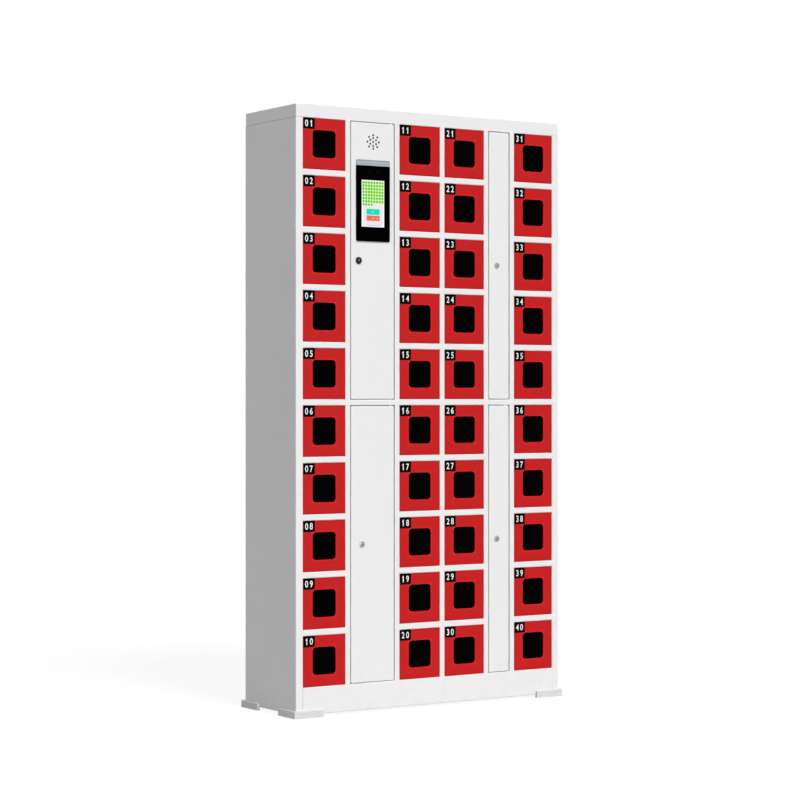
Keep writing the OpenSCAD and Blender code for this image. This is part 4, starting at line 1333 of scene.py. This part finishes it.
def make_electric_locks():
    """One case in the bottom cell of each column, repeated up its ten rows."""
    cases = []
    y = FRONT + LOCK_FRONT
    for c, (x0, x1) in enumerate(columns_x):
        wall, inward = (x1, -1) if hinged_left[door_name(c, 0)] else (x0, 1)
        z = cell_leaf[door_name(c, ROWS - 1)].bottom + LEAF_H / 2

        def span(a, b):
            return sorted((wall + inward * a, wall + inward * b))
        (cx0, cx1), (mx0, mx1) = span(0, LOCK_W), span(MOUTH_X0, MOUTH_X1)
        mouth = rounded(mx0, z - MOUTH_H / 2, mx1, z + MOUTH_H / 2, 0.8 * MM)
        case = panel("lock_case", CASE_DARK, at_front(y),
                     rounded(cx0, z - LOCK_H / 2, cx1, z + LOCK_H / 2, 1.5 * MM), block(LOCK_D, 0.8 * MM),
                     [(mouth, cut_edge(0.5 * MM, MOUTH_D), True)])
        cases.append(repeated(even_shading(case), rows=ROWS, row_step=(0, 0, ROW_PITCH)))
        face = wall + inward * LOCK_W
        screw = turned("lock_screw", ZINC, in_mm((2.2, -0.3), (2.2, 0.0), (1.9, 0.5), (0.9, 0.8), (0.8, 0.2)),
                       lambda u, v, w: (face + inward * w, y + LOCK_SCREW_BEHIND + u, z + v), 12)
        cases.append(repeated(screw, 2, (0, LOCK_SCREW_STEP, 0), ROWS, (0, 0, ROW_PITCH)))
    put(join("electric_lock_cases", cases), "cabinet", "lock_case", "electric_locks")


# Cases of the control electronics on the back panel
CASE_FOOT = 3 * MM
CASE_FOOT_INSET = 4 * MM
CASE_FOOT_W = 8 * MM
CASE_SCREW_INSET = 6 * MM
DRIVER_SIZE = (86 * MM, 30 * MM, 150 * MM)


def leaf_middle(name):
    leaf = service_leaf[name]
    return (leaf.bottom + leaf.top) / 2


# Each case's size, the middle of its width, its underside, its finish and its number of slots
electronics = {
    "power_supply": ((98 * MM, 38 * MM, 159 * MM), WIDE_X, 129 * MM, CASE_METAL, 9),
    "main_controller": ((120 * MM, 40 * MM, 180 * MM), WIDE_X, 368 * MM, CASE_GREY, 7),
    "lock_driver_lower": (DRIVER_SIZE, NARROW_X, leaf_middle("service_door_lower_narrow"), CASE_GREY, 5),
    "lock_driver_upper": (DRIVER_SIZE, NARROW_X, leaf_middle("service_door_upper_narrow"), CASE_GREY, 5)}


def make_electronics():
    """Each case has a slotted lid, and a foot and a screw at each of its four corners."""
    parts = []
    for name, ((w, d, h), x, z, finish, slot_count) in electronics.items():
        y = BACK_SHEET - CASE_FOOT - d
        left = x - w / 2
        slots = vent_slots(x, z + 0.3 * h, 0.6 * w, 2.4 * MM, 7 * MM, slot_count, 1.1 * MM, 1.2 * MM, 3)
        lid = panel(name, finish, at_front(y), rounded(left, z, x + w / 2, z + h, 2.5 * MM),
                    block(d, 1.2 * MM), slots)
        near, far = CASE_FOOT_INSET, CASE_FOOT_INSET + CASE_FOOT_W
        foot = panel("case_foot", finish, at_front(BACK_SHEET - CASE_FOOT),
                     rounded(left + near, z + near, left + far, z + far, 1 * MM),
                     [(0, -HAIRLINE), (0, CASE_FOOT)])
        screw = turned("case_screw", ZINC, in_mm((2.2, -0.2), (2.2, 0.2), (1.6, 0.8), (0.8, 0.8), (0.7, 0.3)),
                       about(left + CASE_SCREW_INSET, z + CASE_SCREW_INSET, y, -1), 12)
        parts.append(lid)
        for piece, inset in ((foot, near + far), (screw, 2 * CASE_SCREW_INSET)):
            parts.append(repeated(piece, 2, (w - inset, 0, 0), 2, (0, 0, h - inset)))
    put(even_shading(join("control_cases", parts), 40), "cabinet", "case_grey", "control_electronics")


def dress_cell_walls():
    """The walls between the cells stay the frame's own mesh, in the cabinet's white."""
    walls = frame["nodes"]["cell_walls"]
    walls.data.materials.clear()
    walls.data.materials.append(WHITE)


# Floor, background and lamps
FLOOR_REACH = 300.0
FLOOR_SHADE = 0.60
FLOOR_GLOW = 1.137
FLOOR_GLOW_SHARE = 0.80
SKY_FOR_LIGHT = 0.250


def make_stage():
    """Pale floor that the camera sees mostly as an even white."""
    mesh = bpy.data.meshes.new("floor")
    corners = [(x * FLOOR_REACH, y * FLOOR_REACH, 0) for x, y in ((-1, -1), (1, -1), (1, 1), (-1, 1))]
    mesh.from_pydata(corners, [], [(0, 1, 2, 3)])
    material = bpy.data.materials.new("floor_pale")
    material.use_nodes = True
    tree = material.node_tree
    tree.nodes.clear()
    pale = add_node(tree, "ShaderNodeBsdfDiffuse", {"Color": (FLOOR_SHADE, FLOOR_SHADE, FLOOR_SHADE, 1)})
    bright = add_node(tree, "ShaderNodeEmission", {"Color": (1, 1, 1, 1), "Strength": FLOOR_GLOW})
    share = math_node(tree, "MULTIPLY", seen_directly(tree), FLOOR_GLOW_SHARE)
    mix = add_node(tree, "ShaderNodeMixShader", {0: share, 1: pale.outputs[0], 2: bright.outputs[0]})
    add_node(tree, "ShaderNodeOutputMaterial", {"Surface": mix.outputs[0]})
    mesh.materials.append(material)
    add_object("floor", mesh)


def seen_directly(tree):
    """1 for camera, glossy and transmission rays, so that metal and glass show the background too."""
    rays = add_node(tree, "ShaderNodeLightPath")
    first = math_node(tree, "MAXIMUM", rays.outputs["Is Camera Ray"], rays.outputs["Is Glossy Ray"])
    return math_node(tree, "MAXIMUM", first, rays.outputs["Is Transmission Ray"])


def make_lights():
    """White surroundings that light little, a soft key lamp, and a lamp that only glints show."""
    world = bpy.data.worlds.new("studio")
    bpy.context.scene.world = world
    world.use_nodes = True
    tree = world.node_tree
    tree.nodes.clear()
    strength = add_node(tree, "ShaderNodeMapRange",
                        {"Value": seen_directly(tree), "To Min": SKY_FOR_LIGHT, "To Max": 1.0})
    sky = add_node(tree, "ShaderNodeBackground", {"Color": (1, 1, 1, 1), "Strength": strength.outputs[0]})
    add_node(tree, "ShaderNodeOutputWorld", {"Surface": sky.outputs[0]})
    add_sun("key", energy=2.81, size=20, azimuth=1, elevation=48)
    edge_light = add_sun("edge_light", energy=5.0, size=10, azimuth=-8, elevation=3)
    edge_light.visible_diffuse = False
    bpy.context.scene.view_settings.view_transform = "Standard"


def add_sun(name, energy, size, azimuth, elevation):
    """Soft sun lamp; the azimuth runs from the front towards the right, in degrees."""
    data = bpy.data.lights.new(name, "SUN")
    data.energy = energy
    data.angle = math.radians(size)
    lamp = add_object(name, data)
    turn, rise = math.radians(azimuth), math.radians(elevation)
    towards = Vector((math.sin(turn) * math.cos(rise), -math.cos(turn) * math.cos(rise), math.sin(rise)))
    lamp.rotation_euler = towards.to_track_quat("Z", "Y").to_euler()
    return lamp


make_camera()
make_side_panels()
make_top_cap()
make_base()
make_front_frame()
make_feet()
make_back()
make_cable_bush()
make_rear_rivets()
make_cell_doors()
make_service_doors()
make_terminal_front()
make_terminal_rear()
make_terminal_glass()
make_display()
make_speaker()
make_electric_locks()
make_electronics()
dress_cell_walls()
make_stage()
make_lights()
